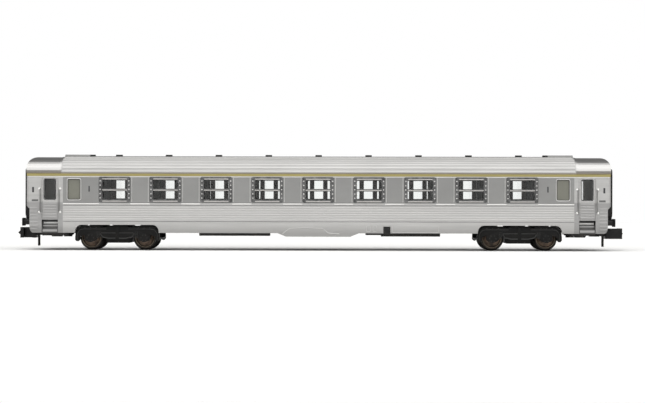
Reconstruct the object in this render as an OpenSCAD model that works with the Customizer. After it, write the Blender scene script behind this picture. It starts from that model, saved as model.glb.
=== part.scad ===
// Side-corridor passenger coach, 1:160 scale model for 9 mm gauge track.
// +X runs along the coach, -Y is the compartment side, +Y the corridor side.
// Z = 0 is the lowest point of the wheel flanges. All sizes are in millimetres.

/* [Body] */
// Length of the body above the waist
body_len = 154; // [152:0.5:186]
// Width over the side walls
body_w = 17.72; // [16.4:0.02:21.4]
// Thickness of the side and end walls
wall = 0.9; // [0.7:0.05:1.1]
// Height of the lower edge of the skirt
skirt_z = 4.65; // [4.3:0.01:5]
// How far the foot of the skirt curves inwards
skirt_tuck = 0.25; // [0.1:0.05:0.4]
// Height of the line where the skirt starts to curve inwards
skirt_line_z = 7.68; // [7.2:0.02:8.4]
// Height of the waist, below which each end steps in
waist_z = 11; // [10.6:0.1:11.8]
// Depth of the step in each end below the waist
end_step = 0.85; // [0.4:0.05:1.2]
// Length of the curve at the foot of each end
heel_len = 0.9; // [0.4:0.05:1.2]
// Height of that curve above the skirt's lower edge
heel_h = 1.6; // [0.8:0.1:2]
// Radius of the body's corners in plan
corner_r = 0.7; // [0.3:0.1:1]
// Height of the joint between body and roof
cantrail_z = 20.3; // [20:0.1:24]

/* [Skirt] */
// Length of the opening over each bogie
arch_len = 22.1; // [21.8:0.1:26]
// Height of the top of that opening
arch_top_z = 6.76; // [6.7:0.02:6.9]
// Radius of that opening's upper corners
arch_r = 1.7; // [0.8:0.1:1.9]
// Length of the bulge in the middle of the skirt, along its foot
bulge_len = 16.9; // [12:0.1:22]
// Length of each slope of the bulge
bulge_slope = 2.3; // [1:0.1:4]
// Depth of the bulge below the skirt
bulge_drop = 0.92; // [0.5:0.01:1.2]

/* [Roof] */
// Height of the roof's crown above the body
roof_rise = 4.6; // [3.8:0.1:5.5]
// Thickness of the roof
roof_t = 0.8; // [0.6:0.05:1]
// Fullness of the roof's curve, where 2 is an ellipse
roof_fullness = 2.5; // [2:0.1:3.2]
// Height of the upright part of the roof's end
roof_end_h = 1.6; // [0.8:0.1:2.4]
// Length over which the roof curves down to each end
roof_dome = 1.95; // [1:0.05:4]
// Length of the smooth part at each end of the roof
roof_smooth = 8.7; // [5:0.1:12]
// Height of the ribbed part above the smooth ends
rib_rise = 0.12; // [0.06:0.02:0.2]
// Depth of the lip that holds the roof inside the walls
lip_h = 0.55; // [0.4:0.05:0.7]
// Thickness of that lip
lip_t = 0.6; // [0.4:0.05:0.7]
// How far the gutter stands out from the side
gutter_out = 0.12; // [0.05:0.01:0.2]
// Height of the gutter
gutter_h = 0.3; // [0.2:0.05:0.5]

/* [Roof vents] */
// Length of a vent
vent_len = 1.72; // [1.2:0.02:3]
// Width of a vent
vent_w = 1.3; // [0.8:0.1:2.4]
// Height of a vent above the crown
vent_h = 0.6; // [0.4:0.05:1]
// Upright part of a vent's height
hood_foot = 0.4; // [0.2:0.05:0.6]
// Width of a vent's flat top, as a part of its width
hood_top = 0.64; // [0.5:0.02:0.8]
// Radius of the pegs that hold what stands on the roof
vent_peg_r = 0.4; // [0.25:0.05:0.5]
// Length of the long vent box near each end
vent_box_len = 6.7; // [4:0.1:7]
// Width of that box
vent_box_w = 2.6; // [1.6:0.1:4]
// Distance from the body's end to the far end of that box
vent_box_inset = 8.9; // [8.8:0.1:9]
// Length of the dark end piece of the box
vent_end_len = 1.2; // [0.8:0.05:1.6]

/* [Compartments] */
// Number of compartments
compartments = 9; // [5:2:9]
// Distance between two compartments
pitch = 13.42; // [12.6:0.02:13.5]
// Width over a compartment window's frame
frame_w = 8.35; // [7.6:0.05:9.4]
// Height of the frame's lower edge
frame_z = 12.74; // [12.5:0.02:12.9]
// Height over the frame
frame_h = 6.71; // [5.8:0.01:6.72]
// Width of the frame's border beside the window
frame_border = 0.88; // [0.6:0.02:1]
// Width of the frame's border above and below the window
frame_rail = 0.75; // [0.6:0.01:0.9]
// Width of the part of the border that lies on the side wall
frame_overlap = 0.35; // [0.2:0.05:0.4]
// Radius of the frame's corners
frame_r = 0.4; // [0.2:0.05:0.6]
// How far the frame stands out from the side
frame_proud = 0.15; // [0.08:0.01:0.2]
// Height of the bar across the window
bar_h = 0.42; // [0.3:0.02:0.6]
// Width over a corridor window's frame
corridor_frame_w = 7.76; // [6.9:0.02:8.4]

/* [Doors] */
// Distance from the body's end to a door's middle
door_inset = 6.2; // [5.6:0.1:6.4]
// Width of a door
door_w = 4.2; // [3.6:0.1:4.6]
// Height of a door's foot
door_z = 8.26; // [8.2:0.02:9]
// Height over a door
door_h = 10.9; // [9.6:0.1:11.2]
// Radius of the door's corners
door_r = 0.3; // [0.2:0.05:0.5]
// Depth of the door's face below the side
door_depth = 0.12; // [0.06:0.01:0.2]
// Width of a door window
door_pane_w = 3.2; // [2.4:0.1:3.4]
// Distance from the body's end to a toilet window's middle
toilet_inset = 12.6; // [12.2:0.1:13.2]
// Width of a toilet window
toilet_w = 3.37; // [2.6:0.01:3.6]
// Height of the foot of the toilet and door windows
small_pane_z = 13.4; // [13:0.05:14]
// Height over the toilet and door windows
small_pane_h = 5.45; // [4.4:0.05:5.6]
// Corner radius of the toilet and door windows
small_pane_r = 0.4; // [0.2:0.05:0.6]

/* [Steps] */
// Width of the step well below a door
well_w = 4.3; // [3.8:0.1:4.6]
// Height of the top of the step well
well_top_z = 8.1; // [7.6:0.05:8.16]
// Depth of the steps behind the side
well_depth = 1.9; // [1.5:0.1:2.4]
// Thickness of the footboard
footboard_t = 0.5; // [0.3:0.05:0.6]
// Length of the footboard
footboard_len = 6.2; // [5:0.1:6.4]
// Height of the underside of the bracket below the footboard
bracket_z = 3.65; // [3.5:0.05:3.9]
// Length of that bracket
bracket_len = 3.4; // [2.4:0.1:4]
// How far each end of the bracket slopes
bracket_slope = 0.4; // [0.2:0.05:0.6]
// Distance of the bracket's middle from the footboard's, towards the coach's middle
bracket_shift = 0.85; // [0:0.05:1]
// Distance of the footboard's middle from the door's, towards the coach's middle
footboard_shift = 1; // [0.5:0.1:1.3]
// Width of the footboard
footboard_w = 1.5; // [1:0.1:2]

/* [Ends] */
// Width over the gangway
gangway_w = 8.4; // [7.6:0.1:9.4]
// Height of the gangway's foot
gangway_z = 8.8; // [8.6:0.1:9.4]
// Height over the gangway
gangway_h = 13; // [12:0.1:13]
// Width of the gangway's foot, which fills the gap between the buffers
gangway_foot_w = 6.6; // [5:0.1:6.8]
// Height of the underside of that foot
gangway_foot_z = 7.15; // [7.1:0.05:7.6]
// Width of the gangway's rubber
gangway_border = 1.5; // [1.1:0.1:1.8]
// Radius of the gangway's outer corners
gangway_r = 1; // [0.5:0.1:1.2]
// How far the gangway stands out from the end
gangway_out = 1.2; // [0.3:0.05:1.4]
// Width of the end door
end_door_w = 4.4; // [3.8:0.1:4.9]
// Thickness of the end door
end_door_t = 0.5; // [0.4:0.05:0.6]
// Width of the end door's window
end_pane_w = 2.6; // [2:0.1:3.4]
// Height of the foot of that window
end_pane_z = 13.2; // [12:0.1:14]
// Height over that window
end_pane_h = 5.2; // [3:0.1:5.6]
// How far the buffers stand out beyond the body
buffer_out = 1.45; // [1:0.05:1.8]
// Distance between the two buffers of one end
buffer_gauge = 10.94; // [10.6:0.02:11.4]
// Height of the buffers' centre line
buffer_z = 7.5; // [7.4:0.05:7.7]
// Width of a buffer's plate
buffer_w = 3.6; // [3:0.1:3.7]
// Height of a buffer's plate
buffer_h = 2.1; // [1.8:0.05:2.2]
// Thickness of a buffer's plate
buffer_t = 0.35; // [0.25:0.05:0.5]
// Radius of the plate's corners
buffer_r = 0.4; // [0.2:0.05:0.6]
// Width and thickness of the collar at the foot of a buffer
collar = 0.35; // [0.2:0.05:0.5]
// Radius of a buffer's shank
buffer_shank_r = 0.75; // [0.5:0.05:0.9]
// Radius of the peg that holds a buffer
buffer_peg_r = 0.45; // [0.35:0.05:0.6]

/* [Inside] */
// Thickness of the compartments' floor
floor_t = 0.6; // [0.4:0.05:0.8]
// Thickness of the partitions and the corridor wall
partition_t = 0.7; // [0.5:0.05:0.9]
// Height of the partitions' upper edge
partition_top_z = 19.4; // [18.9:0.05:19.45]
// Width of the corridor, to the inside of the side wall
corridor_w = 5; // [4.4:0.1:5.6]
// Width of a compartment's doorway in the corridor wall
doorway_w = 2.4; // [2:0.1:2.8]
// Width of the posts beside the doorway
post_w = 1.2; // [0.8:0.1:1.4]
// Width of the corridor wall's side panes
side_pane_w = 2.6; // [2:0.1:2.7]
// Height of the lower edge of the corridor wall's openings
corridor_sill_z = 13.75; // [13.2:0.05:14.4]
// Height of the top of those openings
corridor_head_z = 18.9; // [18.2:0.05:19]
// Depth of a bench, with its back
bench_depth = 3.2; // [2.6:0.1:3.8]
// Height of a bench's seat above the floor
bench_seat_h = 2.9; // [2.4:0.1:3.4]
// Height of a bench's back above the floor
bench_back_h = 7.8; // [6:0.1:8.6]
// Thickness of a bench's back
bench_back_t = 1.3; // [0.9:0.1:1.6]
// Thickness of the clear strips behind the windows
glass_t = 0.4; // [0.3:0.05:0.5]
// Length of the steel weight
weight_len = 96; // [70:1:100]
// Width of the steel weight
weight_w = 11; // [8:0.5:13]
// Thickness of the steel weight
weight_t = 0.8; // [0.5:0.1:0.8]

/* [Underframe] */
// Height of the underside of the chassis plate
chassis_z = 7; // [6.98:0.02:7.1]
// Thickness of the chassis plate
chassis_t = 1; // [0.8:0.1:1.1]
// Distance of each sill from the middle of the chassis plate
sill_y = 5.2; // [4:0.1:6]
// Length of a sill
sill_len = 24; // [16:1:26]
// Width of a sill
sill_w = 0.8; // [0.5:0.1:1.2]
// Height of a sill below the plate
sill_h = 0.7; // [0.4:0.1:1.2]
// Distance from the body's end to the bogie's pivot
pivot_inset = 23.9; // [23.6:0.1:25]
// Radius of the boss above each bogie
pivot_boss_r = 2.4; // [2:0.1:2.8]
// Distance from the coach's middle to the battery box's middle
battery_x = 22.1; // [20:0.1:24]
// Length of the battery box
battery_len = 18.7; // [12:0.1:19]
// Height of the battery box's underside
battery_z = 3.9; // [3.7:0.05:4.2]
// Distance from the coach's middle to the cabinet's middle
cabinet_x = 24.4; // [22:0.1:26]
// Length of the cabinet
cabinet_len = 15.6; // [10:0.1:17]
// Height of the cabinet's underside
cabinet_z = 3.8; // [3.7:0.05:4.2]
// Width of the battery box and of the cabinet
box_w = 3.4; // [2:0.1:4]
// Width of the dark socket in the skirt
socket_w = 1.8; // [1.2:0.1:2.2]
// Distance from the cabinet's end to the socket
socket_inset = 0.6; // [0.2:0.1:2]
// Height of the socket's foot
socket_z = 4.45; // [4.4:0.05:4.6]
// Height of the socket's top
socket_top_z = 6.4; // [5.8:0.1:6.8]
// Radius of an air tank
tank_r = 1.25; // [0.9:0.05:1.3]
// Length of an air tank
tank_len = 15; // [10:0.5:16]

/* [Bogies] */
// Distance between a bogie's two axles
wheelbase = 14.2; // [14:0.1:14.4]
// Length over a bogie's frame
bogie_len = 22.3; // [22:0.1:22.6]
// Width over the bogie's side frames
bogie_w = 15.6; // [15.4:0.1:15.8]
// Thickness of a side frame
side_frame_t = 1.3; // [1:0.05:1.4]
// Height of the top of the bogie's frame
bogie_top_z = 6.3; // [6.2:0.05:6.5]
// Length of the cross block between the axles
block_len = 6.2; // [5:0.1:6.4]
// Height of the underside of that block
block_z = 1.95; // [1.8:0.05:2.4]
// Thickness of the cross bar at each end of the bogie
end_bar_t = 0.55; // [0.4:0.05:0.6]
// Height of the top of the side frames over the axles
beam_top_z = 6.55; // [6.4:0.05:6.6]
// Depth of the two dips in the side frames' top
dip_h = 0.4; // [0.2:0.05:0.6]
// Distance from an axle to the dip beside it
dip_half_w = 2.7; // [2.4:0.1:3]
// Width of the raised middle of the side frames
centre_w = 5; // [4:0.1:5.6]
// Height of the underside of the side frames between guard and strap
beam_z = 4.1; // [3.9:0.05:4.3]
// Width of a guard round an axle box
guard_w = 3.2; // [2.8:0.1:3.6]
// How far a guard reaches below the middle of its axle
guard_drop = 0.8; // [0.6:0.05:1]
// Width of the strap that hangs from each end of a side frame
strap_w = 1.2; // [0.8:0.1:1.4]
// Height of the foot of a strap
strap_z = 2.4; // [2.2:0.05:2.8]
// Height of the lowest point of the bowed beam between the axles
bow_z = 2.85; // [2.6:0.05:3.1]
// Bevel on the corners of a side frame
bevel = 0.4; // [0.2:0.05:0.5]
// How far the bowed beam rises towards its ends
bow_rise = 0.7; // [0.4:0.05:0.9]
// Length of the bowed beam
bow_len = 5.8; // [5:0.1:6.2]
// Width of the upright damper
damper_w = 0.9; // [0.6:0.1:1.2]
// How far axle box covers and damper stand out from a side frame
cover_out = 0.2; // [0.1:0.05:0.3]
// Width of the keel below the cross block
keel_w = 11.4; // [8:0.2:11.6]
// Radius of an axle box's cover
axle_box_r = 1.15; // [0.8:0.05:1.3]
// Radius of the pivot screw's shank
pivot_r = 0.9; // [0.7:0.05:1.1]
// Radius of the pivot screw's head
pivot_head_r = 1.7; // [1.4:0.05:1.9]
// Thickness of the pivot screw's head
pivot_head_t = 0.7; // [0.5:0.05:0.9]
// Width of the slots in the screws
slot_w = 0.35; // [0.2:0.05:0.5]
// Thickness of the web that the pivot screw holds
pivot_web_t = 1.1; // [0.8:0.05:1.4]

/* [Wheels] */
// Radius of a wheel over its flange
flange_r = 3.3; // [3.2:0.01:3.35]
// Height of the flange above the tread
flange_h = 0.45; // [0.4:0.01:0.55]
// Distance between the inner faces of an axle's two wheels
back_to_back = 7.45; // [7.4:0.01:7.6]
// Width of a wheel
wheel_w = 2; // [1.8:0.05:2.2]
// Thickness of the flange
flange_t = 0.55; // [0.45:0.05:0.65]
// How far the tread's radius grows and shrinks across it
cone = 0.06; // [0.03:0.01:0.08]
// Thickness of the rim, from the tread to the dish
rim_t = 0.6; // [0.4:0.05:0.8]
// Depth of the dish in the wheel's outer face
dish = 0.55; // [0.3:0.05:0.7]
// Radius of a wheel's hub
hub_r = 0.95; // [0.8:0.05:1.2]
// Radius of an axle
axle_r = 0.6; // [0.5:0.02:0.7]
// Radius of an axle's journals
journal_r = 0.4; // [0.3:0.02:0.45]
// Length of a journal inside its axle box
journal_len = 0.8; // [0.6:0.05:0.95]

/* [Couplers] */
// Distance from the body's end to a coupler arm's pivot
arm_inset = 9.5; // [9:0.1:10]
// Distance from that pivot to the hook's hinge
arm_len = 5.9; // [5:0.1:6]
// How much further the arm at the +X end is drawn out
drawn_out = 1; // [0:0.1:1.2]
// Height of the underside of the arm
arm_z = 4.05; // [3.95:0.05:4.2]
// Thickness of the arm
arm_t = 0.95; // [0.7:0.05:1.1]
// Width of the arm
arm_w = 2.2; // [1.8:0.1:2.6]
// Radius of the screw that holds the arm
arm_screw_r = 0.6; // [0.4:0.05:0.7]
// Radius of the boss above the arm
arm_boss_r = 1.45; // [1.2:0.05:1.7]
// Radius of that screw's head
arm_head_r = 1.15; // [0.9:0.05:1.3]
// Thickness of that screw's head
arm_head_t = 0.5; // [0.4:0.05:0.6]
// Width of the hook's shank
shank_w = 1.5; // [1.2:0.1:1.8]
// Height of the hook's shank
shank_h = 1.3; // [1:0.05:1.4]
// Radius of the hook's hinge pin
hinge_r = 0.35; // [0.25:0.05:0.4]
// Radius of the eye round the arm's screw
arm_eye_r = 1.6; // [1.4:0.05:1.8]
// Thickness of the arm's two cheeks
cheek_t = 0.6; // [0.5:0.05:0.8]
// How far the cheeks stand out above and below the arm
cheek_out = 0.3; // [0.2:0.05:0.4]
// How far the cheeks reach beyond the hinge
cheek_reach = 0.8; // [0.6:0.05:1]
// Thickness of the web between the cheeks
web_t = 0.8; // [0.5:0.1:1.2]
// Distance from the hook's hinge to the back of its head
head_back = 2.45; // [2.3:0.05:2.8]
// Length of the hook's head
head_len = 4.35; // [3.8:0.05:4.5]
// Width of the hook's head
head_w = 4.1; // [3.6:0.1:4.2]
// Height of the underside of the hook's head
head_z = 3.15; // [3.05:0.05:3.4]
// Height over the hook's head
head_h = 2.8; // [2.4:0.05:2.85]
// Thickness of the hook's walls
head_t = 0.9; // [0.7:0.05:1.1]
// Length of the hook's pointed nose
nose_len = 0.6; // [0.4:0.05:0.7]
// Height of the nose at its foot
nose_h = 1.1; // [0.8:0.05:1.4]
// Width of the nose, at the free end of the hook's front wall
nose_w = 1; // [0.7:0.05:1.2]
// Distance from the hook's hinge to its hanging peg
peg_x = 1.9; // [1.5:0.1:2]
// Radius of the hanging peg
peg_r = 0.33; // [0.25:0.01:0.4]
// Height of the foot of the hanging peg
peg_z = 1; // [0.8:0.05:1.6]

/* [Fits] */
// Gap on each side of a piece that is pushed into another
push_fit = 0.04; // [0.02:0.01:0.06]
// Gap between a wheel and the axle that it is pressed on
press_gap = 0.02; // [0.01:0.01:0.03]
// Gap round a pin or journal that turns
running_fit = 0.05; // [0.02:0.01:0.08]
// Gap between two faces that slide over each other
face_gap = 0.06; // [0.04:0.01:0.1]

/* [Hidden] */
$fn = 32;
eps = 0.5; // how far a cutter runs past the face that it cuts
lap = 0.4; // how far a pane, leaf or wall reaches past the opening beside it
heel_steps = 4; // straight pieces in the curve at the foot of an end
seat = 0.1; // how far a piece stands back from the face beside it
bury = 0.2; // how far two parts of one solid run into each other

silver = "#c6c4c0";
dull_silver = "#969894";
black = "#1b1b1d";
brown = "#3c3228";
bronze = "#4a3a28";

half_len = body_len / 2;
half_w = body_w / 2;
door_x = half_len - door_inset;
toilet_x = half_len - toilet_inset;
vent_box_x = half_len - vent_box_inset - vent_box_len;
bogie_x = half_len - pivot_inset;
arm_x = half_len - arm_inset;
buffer_face_x = half_len + buffer_out;
low_half_len = half_len - end_step;
inner_half_w = half_w - wall;
roof_top_z = cantrail_z + roof_rise;
ribbed_half_len = half_len - roof_smooth;
pane_z = frame_z + frame_rail;
pane_h = frame_h - 2 * frame_rail;
bar_z = pane_z + pane_h / 2;
chassis_top_z = chassis_z + chassis_t;
floor_z = chassis_top_z + weight_t + face_gap;
floor_top_z = floor_z + floor_t;
corridor_wall_y = inner_half_w - corridor_w - partition_t;
room_y = inner_half_w - glass_t - 3 * seat;
cell_half = (pitch - partition_t) / 2;
toilet_wall_x = toilet_x + toilet_w / 2 + lap;
frame_y = bogie_w / 2 - side_frame_t;
axle_z = flange_r;
tread_r = flange_r - flange_h;
rim_r = tread_r - rim_t;
guard_z = axle_z - guard_drop;
hinge_z = arm_z + arm_t / 2;
hung_y = -inner_half_w + skirt_tuck + seat;
socket_x = cabinet_x - cabinet_len / 2 + socket_inset;
step_y = -half_w + skirt_tuck + seat;

// Window centres along the coach
function window_xs() = [for (i = [0:compartments - 1]) (i - (compartments - 1) / 2) * pitch];

// How far the side has curved inwards at height z
function tuck_at(z) = skirt_tuck * max(0, skirt_line_z - z) / (skirt_line_z - skirt_z + bulge_drop);

// Points of a rectangle with rounded corners, centred on the origin
function round_rect(w, h, r, n = 4) = [
  for (c = [[1, 1, 0], [-1, 1, 90], [-1, -1, 180], [1, -1, 270]], i = [0:n])
    let (a = c[2] + 90 * i / n)
      [c[0] * (w / 2 - r) + r * cos(a), c[1] * (h / 2 - r) + r * sin(a)]];

// Points of the roof's cross section, from its right foot over the crown to its left foot
function roof_curve(w, h, n = 24) = [
  for (i = [0:n])
    let (a = 180 * i / n)
      [w * sign(cos(a)) * pow(abs(cos(a)), 2 / roof_fullness), h * pow(sin(a), 2 / roof_fullness)]];

// A shape drawn in X and Z, drawn out along Y from y0 to y1
module along_y(y0, y1) {
  translate([0, y1, 0]) rotate([90, 0, 0]) linear_extrude(y1 - y0) children();
}

// A shape drawn in Y and Z, drawn out along X from x0 to x1
module along_x(x0, x1) {
  translate([x0, 0, 0]) rotate([90, 0, 90]) linear_extrude(x1 - x0) children();
}

// A block from one corner to the opposite one
module block(low, high) {
  translate(low) cube(high - low);
}

// What follows is drawn for the compartment side, and again for the corridor side
module both_sides() {
  children();
  mirror([0, 1, 0]) children();
}

// What follows is drawn for the -X end, and again for the +X end
module both_ends() {
  children();
  mirror([1, 0, 0]) children();
}

// What follows is drawn for the -X end, or turned round for the +X end
module at_end(right) {
  rotate([0, 0, right ? 180 : 0]) children();
}

// What follows is drawn once, and again turned half round about the coach's middle
module both_turns() {
  children();
  rotate([0, 0, 180]) children();
}

// A cylinder that lies along Y
module rod_y(r, y0, y1) {
  translate([0, y1, 0]) rotate([90, 0, 0]) cylinder(r = r, h = y1 - y0);
}

// A cylinder that lies along X
module rod_x(r, x0, x1) {
  translate([x0, 0, 0]) rotate([0, 90, 0]) cylinder(r = r, h = x1 - x0);
}

// A slab in the compartment side, w by h with its foot at z, from y0 to y1
module side_slab(x, z, w, h, r, y0, y1) {
  translate([x, 0, z + h / 2]) along_y(y0, y1) polygon(round_rect(w, h, r));
}

// The coach's side seen square on, moved in by inset at the ends
module side_outline(inset) {
  upper = half_len - inset;
  lower = low_half_len - inset;
  polygon(concat(
    [[heel_len - lower, 0], [lower - heel_len, 0]],
    [for (p = heel_curve()) [lower - p[0], p[1]]],
    [[lower, waist_z], [upper, waist_z + end_step], [upper, cantrail_z],
      [-upper, cantrail_z], [-upper, waist_z + end_step], [-lower, waist_z]],
    [for (i = [heel_steps:-1:0]) [heel_curve()[i][0] - lower, heel_curve()[i][1]]]));
}

// Points of the curve at the foot of an end: how far each is moved in, and its height
function heel_curve() = [
  for (i = [0:heel_steps])
    let (a = 90 * i / heel_steps)
      [heel_len * (1 - sin(a)), skirt_z + heel_h * (1 - cos(a))]];

// What is cut from the side outline: below the skirt, and over the bogies
module skirt_cuts() {
  foot = bulge_len / 2;
  difference() {
    translate([-half_len - eps, -eps]) square([body_len + 2 * eps, skirt_z + eps]);
    polygon([
      [-foot - bulge_slope, skirt_z + eps], [-foot - bulge_slope, skirt_z],
      [-foot, skirt_z - bulge_drop], [foot, skirt_z - bulge_drop],
      [foot + bulge_slope, skirt_z], [foot + bulge_slope, skirt_z + eps]]);
  }
  for (x = [-bogie_x, bogie_x]) translate([x, 0])
    polygon(concat([[-arch_len / 2, 0], [arch_len / 2, 0]], arch_top()));
}

// The upper edge of the opening over a bogie, from right to left
function arch_top(n = 6) = [
  for (side = [1, -1], i = [0:n])
    let (a = side > 0 ? 90 * i / n : 90 + 90 * i / n)
      [side * (arch_len / 2 - arch_r) + arch_r * cos(a), arch_top_z - arch_r + arch_r * sin(a)]];

// The coach's cross section below the roof, moved in by inset
module side_section(inset) {
  w = half_w - inset;
  polygon([
    [-w, cantrail_z + eps], [-w, skirt_line_z], [-w + skirt_tuck, skirt_z - bulge_drop],
    [w - skirt_tuck, skirt_z - bulge_drop], [w, skirt_line_z], [w, cantrail_z + eps]]);
}

// The side and end walls in one moulding, open below and above
module body_shell() {
  color(silver) difference() {
    intersection() {
      along_y(-half_w, half_w) difference() {
        side_outline(0);
        skirt_cuts();
      }
      along_x(-half_len, half_len) side_section(0);
      linear_extrude(cantrail_z) polygon(round_rect(body_len, body_w, corner_r));
    }
    intersection() {
      along_y(-half_w, half_w) union() {
        side_outline(wall);
        translate([-half_len + wall, cantrail_z - eps]) square([body_len - 2 * wall, 2 * eps]);
      }
      along_x(-half_len, half_len) side_section(wall);
    }
    window_cuts();
    both_sides() both_ends() door_cuts();
    both_ends() end_cuts();
    both_turns() socket_cut();
  }
}

// Openings for the compartment and corridor windows
module window_cuts() {
  for (x = window_xs()) {
    side_slab(x, frame_z + frame_overlap, frame_w - 2 * frame_overlap,
      frame_h - 2 * frame_overlap, frame_r, -half_w - eps, -inner_half_w + eps);
    side_slab(x, frame_z + frame_overlap, corridor_frame_w - 2 * frame_overlap,
      frame_h - 2 * frame_overlap, frame_r, inner_half_w - eps, half_w + eps);
  }
}

// One door with its window, the toilet window beside it and the step well below it
module door_cuts() {
  side_slab(-door_x, door_z, door_w, door_h, door_r, -half_w - eps, -half_w + door_depth);
  side_slab(-door_x, small_pane_z, door_pane_w, small_pane_h, small_pane_r,
    -half_w - eps, -inner_half_w + eps);
  side_slab(-toilet_x, small_pane_z, toilet_w, small_pane_h, small_pane_r,
    -half_w - eps, -inner_half_w + eps);
  block([-door_x - well_w / 2, -half_w - eps, 0],
    [-door_x + well_w / 2, -inner_half_w + eps, well_top_z]);
}

// The doorway, buffer holes and coupler opening in one end wall
module end_cuts() {
  block([-half_len - eps, -end_door_w / 2 - push_fit, gangway_z + lap],
    [-low_half_len + wall + eps, end_door_w / 2 + push_fit, cantrail_z - lip_h - lap]);
  for (y = [-buffer_gauge / 2, buffer_gauge / 2]) translate([0, y, buffer_z])
    rod_x(buffer_peg_r + push_fit, -low_half_len - eps, -low_half_len + wall + eps);
  block([-half_len - eps, -head_w, 0],
    [-low_half_len + heel_len + wall + eps, head_w, chassis_z]);
}

// The hole for the dark socket in the skirt
module socket_cut() {
  block([socket_x - push_fit, -half_w - eps, 0],
    [socket_x + socket_w + push_fit, -inner_half_w + eps, socket_top_z + push_fit]);
}

// The roof's outer form with its crown at rise, between the ends x0 and x1
module roof_form(x0, x1, w, rise) {
  along_x(x0, x1) translate([0, cantrail_z]) polygon(roof_curve(w, rise));
}

// The roof's side outline, which curves down at both ends
module roof_outline(half, foot_z, rise, dome) {
  n = 8;
  end_z = cantrail_z + roof_end_h;
  polygon(concat(
    [[-half, foot_z], [half, foot_z]],
    [for (i = [0:n]) [
      half - dome + dome * cos(90 * i / n),
      end_z + (cantrail_z + rise - end_z) * sin(90 * i / n)]],
    [for (i = [n:-1:0]) [
      -half + dome - dome * cos(90 * i / n),
      end_z + (cantrail_z + rise - end_z) * sin(90 * i / n)]]));
}

// The roof, which stands on the walls and has a lip inside them
module roof() {
  lip_half_w = inner_half_w - push_fit;
  lip_half_len = half_len - wall - push_fit;
  color(silver) difference() {
    union() {
      intersection() {
        roof_form(-half_len, half_len, half_w, roof_rise - rib_rise);
        along_y(-half_w, half_w)
          roof_outline(half_len, cantrail_z, roof_rise - rib_rise, roof_dome);
      }
      roof_form(-ribbed_half_len, ribbed_half_len, half_w, roof_rise);
      along_x(-half_len + roof_dome, half_len - roof_dome)
        translate([-half_w - gutter_out, cantrail_z])
          square([body_w + 2 * gutter_out, gutter_h]);
      block([-lip_half_len, -lip_half_w, cantrail_z - lip_h],
        [lip_half_len, lip_half_w, cantrail_z + eps]);
    }
    intersection() {
      roof_form(-half_len, half_len, half_w - roof_t, roof_rise - rib_rise - roof_t);
      along_y(-half_w, half_w) roof_outline(half_len - roof_t - wall, cantrail_z - eps,
        roof_rise - rib_rise - roof_t, roof_dome);
    }
    block([-lip_half_len + lip_t, -lip_half_w + lip_t, cantrail_z - lip_h - eps],
      [lip_half_len - lip_t, lip_half_w - lip_t, cantrail_z + lap]);
    for (x = window_xs()) roof_hole(x);
    both_ends() for (x = box_peg_xs()) roof_hole(x);
  }
}

// Pegs of the dark end piece and of the long box, at the -X end
function box_peg_xs() = [
  -vent_box_x + vent_end_len / 2, -vent_box_x - vent_box_len / 3,
  -vent_box_x - vent_box_len * 2 / 3];

// A hood that stands on the crown, with sloping long sides
module hood(x0, x1, w, h) {
  translate([0, 0, roof_top_z]) along_x(x0, x1)
    polygon([[-w / 2, 0], [w / 2, 0], [w / 2, h * hood_foot], [w * hood_top / 2, h],
      [-w * hood_top / 2, h], [-w / 2, h * hood_foot]]);
}

// A peg through the roof below the crown at x
module roof_peg(x) {
  translate([x, 0, roof_top_z - roof_t - rib_rise])
    cylinder(r = vent_peg_r, h = roof_t + rib_rise + bury);
}

// The hole for such a peg
module roof_hole(x) {
  translate([x, 0, roof_top_z - 2 * roof_t]) cylinder(r = vent_peg_r + push_fit, h = 3 * roof_t);
}

// One vent over each compartment, and the dark end piece of each long box
module roof_vents() {
  color(black) {
    for (x = window_xs()) {
      hood(x - vent_len / 2, x + vent_len / 2, vent_w, vent_h);
      roof_peg(x);
    }
    both_ends() {
      hood(-vent_box_x + face_gap, -vent_box_x + vent_end_len, vent_box_w, vent_h);
      roof_peg(box_peg_xs()[0]);
    }
  }
}

// The long vent box near each end
module roof_vent_boxes() {
  color(dull_silver) both_ends() {
    hood(-vent_box_x - vent_box_len, -vent_box_x, vent_box_w, vent_h);
    roof_peg(box_peg_xs()[1]);
    roof_peg(box_peg_xs()[2]);
  }
}

// A window frame on the compartment side: a border on the wall, a plug through it and a bar
module window_frame(x, w) {
  opening = w - 2 * frame_border;
  difference() {
    union() {
      side_slab(x, frame_z, w, frame_h, frame_r, -half_w - frame_proud, -half_w);
      side_slab(x, frame_z + frame_overlap + push_fit, w - 2 * frame_overlap - 2 * push_fit,
        frame_h - 2 * frame_overlap - 2 * push_fit, frame_r, -half_w - frame_proud / 2,
        -inner_half_w);
    }
    difference() {
      side_slab(x, pane_z, opening, pane_h, frame_r / 2, -half_w - eps, -inner_half_w + eps);
      block([x - w / 2, -half_w, bar_z - bar_h / 2], [x + w / 2, -inner_half_w, bar_z + bar_h / 2]);
    }
  }
}

// The frames of all the compartment windows
module window_frames_compartment() {
  color(dull_silver) for (x = window_xs()) window_frame(x, frame_w);
}

// The frames of all the corridor windows
module window_frames_corridor() {
  color(dull_silver) mirror([0, 1, 0]) for (x = window_xs()) window_frame(x, corridor_frame_w);
}

// A clear strip behind one side's windows
module glazing_strip() {
  reach = (compartments - 1) * pitch / 2 + frame_w / 2 + lap;
  block([-reach, -inner_half_w + push_fit, frame_z - seat],
    [reach, -inner_half_w + push_fit + glass_t, cantrail_z - lip_h - seat]);
}

// The clear strip on the compartment side
module glazing_compartment() {
  color("#b8c4c4", 0.35) glazing_strip();
}

// The clear strip on the corridor side
module glazing_corridor() {
  color("#b8c4c4", 0.35) mirror([0, 1, 0]) glazing_strip();
}

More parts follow.
